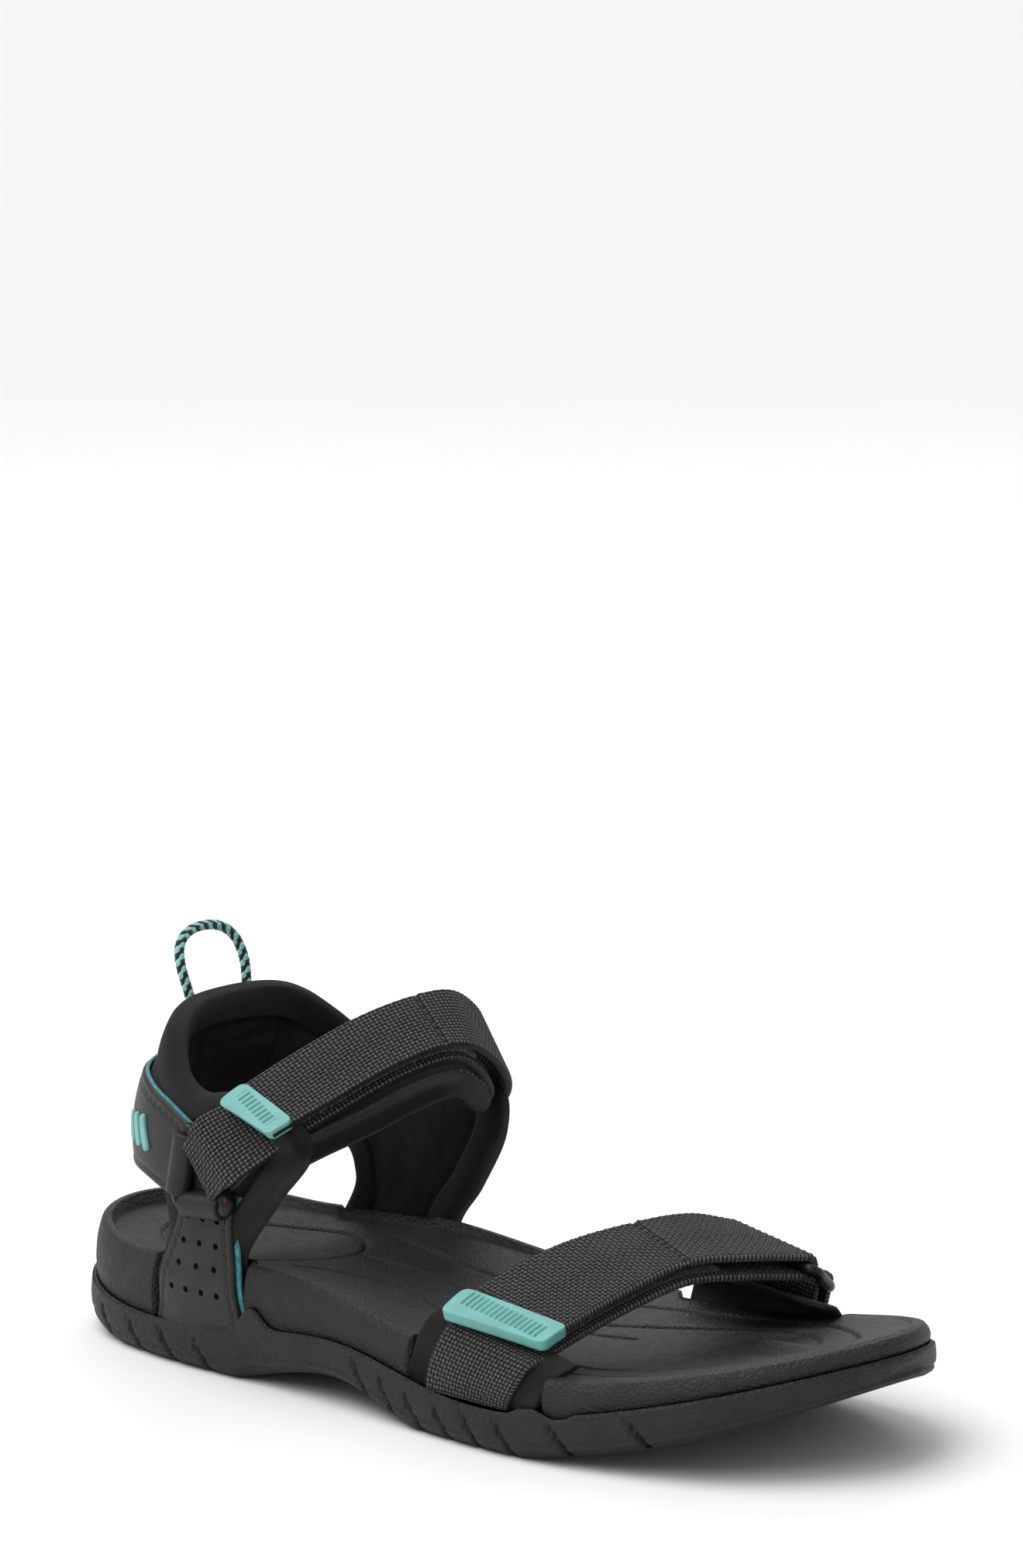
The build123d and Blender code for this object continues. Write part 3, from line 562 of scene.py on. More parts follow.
# ---- sole -----------------------------------------------------------------------
ring = smooth_line([HEEL_TIP] + LATERAL_RIM + [TOE_TIP] + MEDIAL_RIM, AROUND, closed=True)
tangent = np.roll(ring, -1, 0) - np.roll(ring, 1, 0)
tangent /= np.linalg.norm(tangent, axis=1)[:, None]
outward = np.stack([tangent[:, 1], -tangent[:, 0]], 1)
around = lengths(ring)
RX, RY = ring.T


def rim_y(side, x):
    rows = LATERAL_RIM if side < 0 else MEDIAL_RIM[::-1]
    return cubic(rows, np.clip(x, -117.5, 118.3))


spine = np.stack([np.clip(RX, -92, 84)] * 2, 1)
spine[:, 1] = (rim_y(-1, spine[:, 0]) + rim_y(1, spine[:, 0])) / 2
side = np.where(RY < (rim_y(-1, RX) + rim_y(1, RX)) / 2, -1, 1)


def ground_line(x):
    low = np.zeros_like(x)
    for rows in (HEEL_RISE, ARCH, TOE_SPRING):
        inside = (x > rows[0][0]) & (x < rows[-1][0])
        low[inside] = cubic(rows, x[inside])
    return low


def groove_line(x, sides):
    """Height of the groove between the lower and the upper wall."""
    notch = 1.4 * window(x, 50, 58, 5) - 1.0 * window(x, 60, 66, 4)
    bumps = np.where(sides < 0, 5.5 * dent(x + 45, 5) + notch, 4 * dent(x + 42, 6))
    return cubic(GROOVE_LINE, x) - 0.8 + bumps


def inner_rings(start, count, height):
    """Rings from the plan of start to the spine, at height(x, y)."""
    rings = []
    for share in np.linspace(1, 0, count)[1:]:
        plan = spine + share * (start - spine)
        rings.append(np.column_stack([plan, height(plan[:, 0], plan[:, 1])]))
    return rings


def sole_piece(name, rings, finish, node):
    points = np.concatenate(rings)
    faces = grid_faces(len(rings), AROUND, close_cols=True)
    return add_piece(name, points, faces, finish, "root", [node])


def sipe_depth(x, height):
    """Slanted, curved slits in the lower wall, wider at the ground."""
    depth = np.zeros_like(x)
    for start in SIPES:
        lean = start - 0.42 * height - 0.03 * height ** 2
        wide = 0.72 - 0.03 * np.clip(height, 0, SIPE_HEIGHT)
        depth = np.maximum(depth, dent(x - lean, wide) * smoothstep((SIPE_HEIGHT - height) / 2.0))
    return 2.0 * depth


def lower_wall():
    """Lower side wall from the groove's lip down to the ground, with its sipes and toe recess."""
    low = ground_line(RX)
    high = groove_line(RX, side)
    corners = [(1.0, 1, -2.0), (1.8, 1, -1.1), (2.5, 1, -0.35), (3.1, 1, -0.25), (3.6, 1, -0.9),
               (3.9, 0.8, 0), (4.1, 0.55, 0), (3.9, 0.34, 0.2), (3.4, 0.18, 0.3), (2.4, 0.07, 0.4),
               (1.2, 0.02, 0.1), (-0.4, 0, 0)]
    rings = []
    toe = dent(np.minimum(np.abs(around - around[np.argmin(np.hypot(RX - 124, RY - 12))]), 60), 11)
    for offset, share, lift in smooth_line(corners, 44):
        z = low + share * (high - low) + lift
        height = z - low
        cut = sipe_depth(RX, height) * (offset > 1.5)
        scoop = 1.8 * toe * dent(share - 0.45, 0.16)
        parting = 0.5 * dent(share - 0.30, 0.035)
        plan = ring + outward * (offset - cut - scoop - parting)[:, None]
        rings.append(np.column_stack([plan, z]))
    return rings, low, high


def tread_height(x, y):
    """Ground side of the outsole, with slanted grooves under the heel and the ball."""
    low = ground_line(x)
    for first, last in (HEEL_FLAT, BALL_FLAT):
        count = int((last - first) // TREAD_PITCH) + 1
        for k in range(count):
            middle = first + (last - first) * (k + 0.5) / count
            gap = np.abs((x - middle) * cos(radians(12)) + y * sin(radians(12)))
            low = low + TREAD_DEPTH * smoothstep((TREAD_WIDTH / 2 + 0.4 - gap) / 0.8)
    return low


def make_lower_sole():
    rings, low, high = lower_wall()
    parting = 27
    middle = low + 0.3 * (high - low)
    floor = [np.column_stack([spine, high - 3])]
    ceiling = [np.column_stack([spine, middle + 0.5])]
    inner = [np.column_stack([ring - outward * 2, middle + 0.5])]
    sole_piece("midsole_wall", floor + [rings[0] - (0, 0, 2)] + rings[:parting + 1] + inner + ceiling, FOAM,
               "midsole")
    base = rings[parting:]
    tread = inner_rings(base[-1][:, :2], 70, tread_height)
    sole_piece("outsole_tread", ceiling + inner + base + tread, RUBBER, "outsole")


def recess(x, sides):
    """How far inside the rim the footbed's wall stands, where straps and collar go down past it."""
    lateral = 2.6 * window(x, -81.5, -48.5, 2) + 4.0 * window(x, 13.5, 57.5, 2)
    medial = 1.6 * window(x, -81.5, -46, 2) + 3.8 * window(x, 29, 77, 3)
    return np.where(sides < 0, lateral, medial)


def foot_marks():
    """Lines moulded into the footbed, in plan."""
    angle = np.linspace(0, 2 * pi, 90)
    heel = np.stack([-80 + 31 * np.cos(angle), 1.5 + 18.5 * np.sin(angle)], 1)
    leaf = [(14, -18), (38, -27), (62, -26), (84, -14), (97, 6), (84, 22), (62, 25), (40, 14), (24, 0)]
    ball = np.concatenate([smooth_line(leaf, 120, closed=True), [leaf[0]]])
    lateral = [(-48, -20), (-20, -15), (5, -22), (30, -34), (60, -36), (88, -27), (106, -10)]
    medial = [(-48, 18), (-20, 12), (8, 14), (34, 27), (62, 34), (86, 30), (106, 14)]
    inner = smooth_line([(-47, 2), (-20, -1), (10, -4), (30, -2), (44, 4)], 80)
    return [heel, ball, smooth_line(lateral, 120), smooth_line(medial, 120), inner]


def make_footbed():
    marks = foot_marks()

    def top(x, y):
        share = np.clip(1 - (y / 38) ** 2, 0, 1)
        height = cubic(RIM_LINE, x) - cubic(DISH, x) * share
        points = np.stack([x, y], 1)
        for line in marks:
            height = height - MARK_DEPTH * dent(near_line(points, line), 0.7)
        return height

    low, high = groove_line(RX, side), cubic(RIM_LINE, RX)
    corners = [(0.8, 0, -2.5), (1.7, 0, -0.7), (2.4, 0.05, 0), (2.7, 0.25, 0), (2.5, 0.5, 0), (1.9, 0.75, 0),
               (1.2, 0.92, 0), (0.4, 1, -0.15), (-0.5, 1, 0.05), (-1.4, 1, -0.1)]
    hollow = recess(RX, side)
    rings = []
    for offset, share, lift in smooth_line(corners, 30):
        drawn_in = smoothstep(hollow / 1.5) * (offset + 1.4) + hollow
        held = np.where(hollow > 0.02, offset - drawn_in, offset)
        plan = ring + outward * held[:, None]
        rings.append(np.column_stack([plan, low + share * (high - low) + lift]))
    start = rings[-1][:, :2]
    base = [np.column_stack([spine, low - 2.5])]
    sole_piece("footbed_top", base + rings + inner_rings(start, 84, top), FOAM, "footbed")


make_lower_sole()
make_footbed()


# ---- straps -----------------------------------------------------------------------
class Strap:
    """A band through stations; t runs from 0 to 1 along it, depth is measured inwards."""

    def __init__(self, stations):
        self.centres = np.array([centre for centre, _ in stations], float)
        across = np.array([direction for _, direction in stations], float)
        self.across = across / np.linalg.norm(across, axis=1)[:, None]
        self.grid = np.linspace(0, 1, 600)
        self.along = lengths(self.blend(self.centres, self.grid))

    def blend(self, values, t):
        return flowing(values, np.clip(t, 0, 1) * (len(values) - 1))

    def frame(self, t):
        """Centres, and forward, across and outward directions at t."""
        t = np.atleast_1d(np.asarray(t, float))
        ahead, behind = np.minimum(t + 0.01, 1), np.maximum(t - 0.01, 0)
        forward = self.blend(self.centres, ahead) - self.blend(self.centres, behind)
        forward /= np.linalg.norm(forward, axis=1)[:, None]
        across = self.blend(self.across, t)
        across /= np.linalg.norm(across, axis=1)[:, None]
        outward = np.cross(across, forward)
        outward /= np.linalg.norm(outward, axis=1)[:, None]
        return self.blend(self.centres, t), forward, across, outward

    def at(self, t, v, depth):
        """Points at t, v across and depth inwards."""
        centre, _, across, outward = self.frame(t)
        return centre + across * np.asarray(v)[..., None] - outward * np.asarray(depth)[..., None]

    def place_at(self, length):
        return np.interp(length, self.along, self.grid)

    def length_at(self, t):
        return float(np.interp(t, self.grid, self.along))


def weave_relief(u, v):
    """Height of the webbing's knots over its gaps."""
    knot = np.sin(pi * u / WEAVE) * np.sin(pi * v / WEAVE)
    return 0.46 * np.sqrt(np.abs(knot)) * np.where(knot > 0, 1, 0.6) - 0.12


def fold_line(strap, t, heading, reach):
    """Centres, across and outward directions of the half turn round a ring's bar and of its tail."""
    centre, forward, across, outward = (value[0] for value in strap.frame(t))
    forward = forward * heading
    angle = np.linspace(0, pi, 26)[1:]
    axis = centre - outward * FOLD_RADIUS
    turn = axis + FOLD_RADIUS * (np.sin(angle)[:, None] * forward + np.cos(angle)[:, None] * outward)
    faces = np.sin(angle)[:, None] * forward + np.cos(angle)[:, None] * outward
    under = turn[-1] - forward * np.linspace(0, reach, 12)[1:, None]
    return (np.concatenate([turn, under]), np.tile(across, (len(turn) + len(under), 1)),
            np.concatenate([faces, np.tile(-outward, (len(under), 1))]))


def joined(first, second):
    """Two bands, each (centres, across, outward), end to end."""
    return tuple(np.concatenate(pair) for pair in zip(first, second))


def backwards(band):
    return tuple(part[::-1] for part in band)


def band_from(name, centre, across, outward, width, thick, finish, slot, body, nodes, relief=weave_relief,
              seams=(), rim=0.8, step=0.28):
    """Band of webbing along centres of its outer face; seams are (place along, width of the dent)."""
    total = lengths(centre)
    rows = max(4, ceil(total[-1] / step))
    places = np.linspace(0, total[-1], rows)

    def even(values):
        return np.stack([np.interp(places, total, column) for column in values.T], 1)

    centre, across, outward = even(centre), even(across), even(outward)
    width = np.interp(places, total, np.broadcast_to(width, len(total)))
    cols = ceil(width.max() / step)
    share = np.linspace(-0.5, 0.5, cols + 1)
    v = width[:, None] * share
    u = np.broadcast_to(places[:, None], v.shape)
    edge = np.minimum(width[:, None] / 2 - np.abs(v), np.minimum(u, total[-1] - u))
    inside = np.clip(edge / rim, 0, 1)
    drop = thick / 2 * (1 - np.sqrt(1 - (1 - inside) ** 2))
    rise = relief(u, v + WEAVE_START) * inside if relief else 0 * u
    for place, wide in seams:
        rise = rise - 0.55 * dent(u - place, wide) + 0.25 * dent(u - place - 2.2 * wide, wide)
    middle = centre[:, None] + across[:, None] * v[..., None]
    top = middle - outward[:, None] * (drop - rise)[..., None]
    under = rise * 0.6 if relief else 0
    bottom = middle - outward[:, None] * (thick - drop + under)[..., None]
    uv = np.stack([u, v + WEAVE_START], -1)
    return add_sheet(name, top, bottom, uv, finish, body, nodes)


def strap_band(name, strap, start, end, width, top, thick, finish, slot, body="root", nodes=(), fold=None,
               **more):
    """Band along a strap from start to end, and round a ring where fold gives its tail's length."""
    t = np.linspace(start, end, 160)
    centre, _, across, outward = strap.frame(t)
    band = (centre - outward * top, across, outward)
    wide = width(t) if callable(width) else np.full(len(t), float(width))
    if fold is not None:
        band = joined(band, fold_line(strap, end, 1, fold))
        wide = np.concatenate([wide, np.full(len(band[0]) - len(t), wide[-1])])
    return band_from(name, *band, wide, thick, finish, slot, body, nodes, **more)


def plate(name, outline, shares, heights, relief, to_space, finish, body="root", nodes=()):
    """Moulded plate: outline in its plane, rings of (share of the outline, height), relief added on top."""
    count = len(outline)
    middle = np.stack([np.clip(outline[:, 0], *(0.6 * np.array([outline[:, 0].min(), outline[:, 0].max()]))),
                       np.zeros(count)], 1)
    plan, height = [], []
    for share, level in zip(shares, heights):
        spot = middle + share * (outline - middle)
        plan.append(spot)
        height.append(np.full(count, level) + (relief(spot[:, 0], spot[:, 1]) if level > 0 else 0))
    plan, height = np.concatenate(plan), np.concatenate(height)
    points = to_space(plan[:, 0], plan[:, 1], height)
    faces = grid_faces(len(shares), count, close_cols=True)
    return add_piece(name, points, faces, finish, body, nodes, plan)


def rounded_slab(half_long, half_wide, corner, count, skew=0.0):
    """Outline of a rectangle with round corners, leaning by skew."""
    points = []
    for turn, (x, y) in enumerate([(1, -1), (1, 1), (-1, 1), (-1, -1)]):
        angle = radians(90 * turn - 90) + np.linspace(0, pi / 2, 12)
        points.append(np.stack([x * (half_long - corner) + corner * np.cos(angle),
                                y * (half_wide - corner) + corner * np.sin(angle)], 1))
    outline = np.concatenate(points + [points[0][:1]])
    outline = resample(outline, count + 1)[:-1]
    outline[:, 1] += skew * outline[:, 0]
    return outline


def pull_tab(name, strap, end, width, ribs, body, node, slide):
    """Moulded tab, set slide mm up from a flap's end: raised rim and a row of ribs."""
    length = strap.length_at(end)
    half_long, half_wide = width / 2, length / 2 - 0.4

    def relief(x, y):
        field = window(x, 3.0 - half_long, half_long - 3.0, 0.5)
        field = field * window(y, 2.0 - half_wide, half_wide - 2.6, 0.5)
        pitch = (width - 7) / ribs
        rib = 0.5 + 0.5 * np.cos(2 * pi * x / pitch)
        return -0.55 * field * (1 - smoothstep(rib * 1.6))

    def to_space(x, y, height):
        reach = length / 2 - y + slide
        run = np.clip(strap.place_at(np.maximum(reach, 0)), 0, 1)
        points = strap.at(run, x, -height)
        _, forward, _, _ = strap.frame(run)
        return points + forward * np.minimum(reach, 0)[:, None]

    shares = [0, 0.98, 1, 1, 0.995, 0.975] + list(np.linspace(0.95, 0, 34))
    heights = [-2.2, -2.2, -1.6, 0.2, 0.62, 0.8] + [0.85] * 34
    outline = rounded_slab(half_long, half_wide, 1.8, 360, TAB_SKEW)
    plate(name, outline, shares, heights, relief, to_space, TEAL, body, [node])


def stitches(name, line, up, length=2.4, gap=1.0, radius=0.28, body="root"):
    """Row of short raised stitches along a line."""
    total = lengths(line)
    count = max(1, int(total[-1] // (length + gap)))
    angle = 2 * pi * np.arange(6) / 6
    shares = np.array([-0.5, -0.42, -0.2, 0.2, 0.42, 0.5])
    sizes = np.array([0.0, 0.6, 1.0, 1.0, 0.6, 0.0])
    sinks = np.array([-0.8, -0.25, 0.15, 0.15, -0.25, -0.8])
    points, faces = [], []
    for k in range(count):
        places = (k + 0.5) * total[-1] / count + shares * length
        spots = np.stack([np.interp(places, total, column) for column in line.T], 1)
        lift = np.stack([np.interp(places, total, column) for column in up.T], 1)
        lift /= np.linalg.norm(lift, axis=1)[:, None]
        run = spots[-1] - spots[0]
        run /= np.linalg.norm(run) + 1e-9
        side_way = np.cross(run, lift)
        rings = (spots + lift * (radius * sinks)[:, None])[:, None] + radius * sizes[:, None, None] * (
            side_way[:, None] * np.cos(angle)[None, :, None] + lift[:, None] * np.sin(angle)[None, :, None])
        faces.append(grid_faces(6, 6, close_cols=True) + 36 * k)
        points.append(rings.reshape(-1, 3))
    return add_piece(name, np.concatenate(points), np.concatenate(faces), THREAD, body)


ankle, forefoot = Strap(ANKLE_FLAP), Strap(FOREFOOT_FLAP)


def gathered(share):
    """Width of the ankle webbing, drawn together where it turns round a ring."""
    return ANKLE_FOLD + (ANKLE_WIDE - ANKLE_FOLD) * np.clip(share, 0, 1)


def ankle_width(t):
    return gathered((1 - t) / 0.2)


def ankle_lead_width(t):
    return gathered(2 * t)


def forefoot_width(t):
    return np.full(len(t), FOREFOOT_WIDE)


def across_stitches(name, strap, t, half, body):
    """Stitch row across a strap's outer face."""
    v = np.linspace(-half, half, 30)
    run = np.full(len(v), float(t))
    line = strap.at(run, v, np.full(len(v), -0.15))
    _, _, _, up = strap.frame(run)
    stitches(name, line, up, 1.9, 0.7, 0.26, body)


def lower_strap(name, lead, flap, start, widths, node, front_fold):
    """Fixed layer: lead-in stations, then under the flap as far as its fold."""
    _, _, across, _ = flap.frame(start)
    under = flap.at(np.array([start]), np.array([0.0]), np.array([LOWER_DEPTH]))[0]
    first = Strap(list(lead) + [(tuple(under), tuple(across[0]))])
    lead_width, flap_width = widths
    t = np.linspace(0, 0.9, 40)
    centre, _, sides, faces = first.frame(t)
    run = np.linspace(start, 1, 120)
    low_centre, _, low_sides, low_faces = flap.frame(run)
    wide = np.concatenate([lead_width(t), flap_width(run)])
    band = joined((centre, sides, faces), (low_centre - low_faces * LOWER_DEPTH, low_sides, low_faces))
    if front_fold:
        turn = backwards(fold_line(first, 0, -1, 9))
        band = joined(turn, band)
        wide = np.concatenate([np.full(len(turn[0]), wide[0]), wide])
    band_from(name, *band, wide, WEBBING_THICK, WEBBING, "webbing", "root", [node])
    return first


def make_strap(name, flap, width, tab_end, hook_end, loop_end, tape_width, ribs, tab_width, seam, slide):
    """Flap of webbing with its fastener tapes, pull tab and stitches; ends and seam are places along it."""
    body = f"{name}_flap"
    web_start, hook_start = tab_end - 0.02, tab_end + 0.04
    seams = [(flap.length_at(seam) - flap.length_at(web_start), 0.7)]
    piece = strap_band(f"{name}_flap_webbing", flap, web_start, 1.0, width, 0, WEBBING_THICK, WEBBING,
                       "webbing", None, [f"{name}_strap_flap"], fold=0.5, seams=seams)
    hinge, forward, _, _ = (value[0] for value in flap.frame(1))
    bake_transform(piece)
    tapes = [("hook", hook_end, WEBBING_THICK + 0.15, FASTENER_THICK - 0.1, body),
             ("loop", loop_end, LOOP_TOP, FASTENER_THICK, "root")]
    for kind, end, top, thick, rides in tapes:
        strap_band(f"{name}_{kind}s", flap, hook_start, end, tape_width, top, thick, PILE, "fastener_tape",
                   rides, [f"{name}_{kind}_tape"], relief=None, step=0.6)
    pull_tab(f"{name}_tab", flap, tab_end, tab_width, ribs, body, f"{name}_pull_tab", slide)
    half = (ANKLE_WIDE if callable(width) else width) / 2 - 0.6
    across_stitches(f"{name}_seam", flap, seam, half, body)
    across_stitches(f"{name}_tab_seam", flap, tab_end + 0.012, half, body)


make_strap("ankle", ankle, ankle_width, tab_end=0.12, hook_end=0.44, loop_end=0.60, tape_width=ANKLE_WIDE - 4,
           ribs=8, tab_width=ANKLE_WIDE - 0.5, seam=0.444, slide=3.8)
make_strap("forefoot", forefoot, FOREFOOT_WIDE, tab_end=0.20, hook_end=0.48, loop_end=0.72,
           tape_width=FOREFOOT_WIDE - 4, ribs=15, tab_width=FOREFOOT_WIDE + 2, seam=0.6, slide=1.2)
ankle_lead = lower_strap("ankle_lower_webbing", ANKLE_LEAD, ankle, 0.16, (ankle_lead_width, ankle_width),
                         "ankle_strap_lower", True)
lower_strap("forefoot_lower_webbing", FOREFOOT_BASE, forefoot, 0.12, (forefoot_width, forefoot_width),
            "forefoot_strap_lower", False)


def make_forefoot_linings():
    anchor = Strap(MEDIAL_ANCHOR)
    t = np.linspace(0, 1, 80)
    centre, _, sides, faces = anchor.frame(t)
    band = joined(backwards(fold_line(anchor, 0, -1, 6)), (centre, sides, faces))
    band_from("medial_anchor_webbing", *band, FOREFOOT_WIDE, WEBBING_THICK, WEBBING, "webbing", "root",
              ["forefoot_medial_anchor"])
    for name, stations, width, node in (("medial_lining", MEDIAL_LINING, 48.0, "forefoot_medial_lining"),
                                        ("lateral_lining", FOREFOOT_LINING, 43.6, "forefoot_lateral_lining")):
        strap_band(name, Strap(stations), 0, 1, width, 0, 1.5, ROLLED, "lining_fabric", "root", [node],
                   relief=None, step=0.5, rim=0.75)


make_forefoot_linings()


# ---- collar -----------------------------------------------------------------------
# The collar's outer face is drawn in (q, z): q runs round the heel, negative on the lateral side.
LEVELS = np.array(COLLAR_LEVELS, float)
BULGE = 2 / COLLAR_BULGE


def heel_table():
    """Angle round the heel against the length along it, at mid height."""
    angle = np.linspace(0, pi / 2, 400)
    plan = np.stack([-HEEL_LONG * np.cos(angle) ** BULGE, HEEL_HALF * np.sin(angle) ** BULGE], 1)
    return lengths(plan), angle


HEEL_LENGTHS, HEEL_ANGLES = heel_table()
HEEL_QUARTER = HEEL_LENGTHS[-1]


def collar_base(q, z):
    """Point on the outer face at (q, z)."""
    lateral, medial, back = (cubic(LEVELS[:, [0, k]], z) for k in (1, 2, 3))
    angle = np.interp(np.abs(q), HEEL_LENGTHS, HEEL_ANGLES)
    half = np.where(q < 0, lateral, medial)
    straight = np.maximum(np.abs(q) - HEEL_QUARTER, 0)
    x = COLLAR_CENTRE - (COLLAR_CENTRE - back) * np.cos(angle) ** BULGE + straight
    return np.stack([x, np.sign(q) * half * np.sin(angle) ** BULGE, z], -1)


def collar_point(q, z, height):
    """Point at height outside the outer face; the legs stand upright where they enter the sole."""
    q, z, height = np.broadcast_arrays(np.asarray(q, float), np.asarray(z, float), np.asarray(height, float))
    tuck = -2.2 * smoothstep((24 - z) / 12)
    point = collar_base(q, z)
    along = collar_base(q + 0.3, z) - collar_base(q - 0.3, z)
    rise = collar_base(q, z + 0.3) - collar_base(q, z - 0.3)
    normal = np.cross(rise, along)
    normal /= np.linalg.norm(normal, axis=-1)[..., None] + 1e-12
    return point + normal * (height + tuck)[..., None]


def on_collar(line, height):
    """Points at height outside the outer face, along a line of (q, z)."""
    return collar_point(line[:, 0], line[:, 1], height)


def q_at(x, z, side_sign):
    """q of the point with that x at that height, on one side."""
    back = np.interp(z, LEVELS[:, 0], LEVELS[:, 3])
    if x > COLLAR_CENTRE:
        return side_sign * (HEEL_QUARTER + x - COLLAR_CENTRE)
    share = np.clip((COLLAR_CENTRE - x) / (COLLAR_CENTRE - back), 0, 1)
    angle = np.arccos(share ** (1 / BULGE))
    return side_sign * float(np.interp(angle, HEEL_ANGLES, HEEL_LENGTHS))


def edge_line(points, count):
    """Smooth edge through (x, z, side) points as (q, z)."""
    spots = np.array([(q_at(x, z, sign), z) for x, z, sign in points])
    return flowing(spots, np.linspace(0, len(spots) - 1, count))


class Patch:
    """Strip of the collar between two edges that run side by side."""

    def __init__(self, low_edge, high_edge, count, across, ends=False):
        self.low, self.high = edge_line(low_edge, count), edge_line(high_edge, count)
        self.share = 0.5 - 0.5 * np.cos(np.linspace(0, pi, across))
        self.spots = self.low[:, None] + self.share[None, :, None] * (self.high - self.low)[:, None]
        flat = self.spots.reshape(-1, 2)
        distance = np.minimum(near_line(flat, self.low), near_line(flat, self.high))
        if ends:
            for k in (0, -1):
                distance = np.minimum(distance, near_line(flat, np.stack([self.low[k], self.high[k]])))
        self.edge = distance.reshape(self.spots.shape[:2])

    def shell(self, name, outer, inner, finish, nodes):
        """Closed piece between two heights over the outer face, each an array over the strip."""
        q, z = self.spots[..., 0], self.spots[..., 1]
        top, bottom = collar_point(q, z, outer), collar_point(q, z, inner)
        return add_sheet(name, top, bottom, self.spots, finish, "root", nodes)

    def inset(self, distance, high):
        """Line at that distance from the low or the high edge, as (q, z)."""
        line = []
        for row, edge in zip(self.spots, self.edge):
            half = len(row) // 2
            order = slice(None, half - 1, -1) if high else slice(None, half + 1)
            line.append([np.interp(distance, edge[order], row[order, k]) for k in (0, 1)])
        return np.array(line)


def both_sides(lateral, back, medial):
    """Edge from the lateral leg round the heel to the medial leg."""
    heel = [(-112, z, 1) for z in back]
    return [(x, z, -1) for x, z in lateral] + heel + [(x, z, 1) for x, z in medial]


def make_collar():
    """Padded collar in two halves, with a rolled binding along its heel edge and its top edge."""
    low = [(-85, 6), (-83.5, 14), (-82, 22), (-77.8, 32.5), (-78.0, 38), (-79.2, 41.6), (-81, 43.4),
           (-84, 44.5), (-88, 45), (-92, 45), (-97, 45), (-101, 45)]
    lateral = [(-46.5, 6), (-48.6, 21.5), (-51, 31), (-40, 46), (-29, 61), (-43, 73.5), (-56, 72),
               (-66, 70.5), (-75, 74.0), (-81, 79.0), (-86.5, 84.6), (-90.5, 87.6)]
    medial = [(-46, 6), (-44, 26), (-36, 38), (-28, 53), (-29, 66), (-44, 72.5), (-55, 71.5), (-66, 70.5),
              (-75, 74.0), (-81, 79.4), (-86, 84.9), (-90, 87.8)]
    heel, top = both_sides(low, [45], low[::-1]), both_sides(lateral, [88.4], medial[::-1])
    patch = Patch(heel, top, 440, 56)
    edge = patch.edge
    q, z = patch.spots[..., 0], patch.spots[..., 1]
    half = COLLAR_THICK / 2
    round_edge = np.sqrt(1 - (1 - np.clip(edge / half, 0, 1)) ** 2)
    puff = 1.0 * smoothstep((edge - BINDING) / 9) - 0.55 * dent(edge - BINDING - 0.7, 0.8)
    wrinkle = 0.18 * np.sin(0.55 * q + 0.3 * np.sin(z / 5)) * window(z, 34, 60, 12)
    wrinkle = wrinkle * smoothstep((edge - BINDING) / 5)
    outer = -half + half * round_edge + puff * 0.6 + wrinkle
    seams = dent(np.abs(np.abs(q) - 21 - 0.12 * (z - 60)), 0.9) * smoothstep((z - 52) / 3)
    seams = np.maximum(seams, dent(z - 74 - 0.004 * q ** 2 * np.sign(30 - np.abs(q)), 0.9) * (np.abs(q) < 21))
    inner = -half - half * round_edge - puff + 0.8 * seams * smoothstep((edge - BINDING) / 4)
    middle = np.full_like(edge, -half)
    patch.shell("collar_outer", outer, middle, STRETCH,
                ["heel_collar_outer", "pull_loop_seat"])
    patch.shell("collar_lining", middle, inner, LINING, ["heel_collar_lining"])
    for high in (False, True):
        make_binding(patch, high, half)


def make_binding(patch, high, half):
    """Rolled strip round one edge of the collar, and its stitches on both faces."""
    label = "top" if high else "heel"
    depths = np.array([BINDING, BINDING - 0.25, 6.4, 5, 3.6, 2.4, 1.5, 0.8, 0.3, 0.0])
    lines = [patch.inset(depth, high) for depth in depths]
    lines[-1] = patch.high if high else patch.low
    swell = half + 0.25 + 0.85 * np.sqrt(np.clip(1 - ((depths - 4.2) / 4.4) ** 2, 0, 1))
    cap = np.sqrt(1 - (1 - np.clip((depths + 0.35) / 3.2, 0, 1)) ** 2)
    swell = swell * cap
    swell[0] = half - 0.6
    top, bottom = (np.stack([on_collar(line, -half + sign * rise)
                             for line, rise in zip(lines, swell)], 1) for sign in (1, -1))
    along = lengths(bottom[:, -1])
    uv, under_uv = (np.stack(np.broadcast_arrays(along[:, None], sign * depths[None]), -1)
                    for sign in (1, -1))
    add_sheet(f"collar_{label}_binding", top, bottom, uv, ROLLED, under_uv=under_uv)
    line = patch.inset(BINDING - 1.3, high)
    for face, sign in (("outside", 1), ("inside", -1)):
        reach = half + 0.55
        spots = on_collar(line, -half + sign * reach)
        up = sign * (on_collar(line, 1.0) - on_collar(line, 0.0))
        keep = line[:, 1] > 20
        stitches(f"collar_{label}_{face}_stitches", spots[keep], up[keep])


def soft_plate(patch, low, high, soft):
    """Outer and inner height of a thin plate with rounded edges."""
    round_edge = np.sqrt(1 - (1 - np.clip(patch.edge / soft, 0, 1)) ** 2)
    return low + (high - low) * (0.35 + 0.65 * round_edge), np.full_like(patch.edge, low)


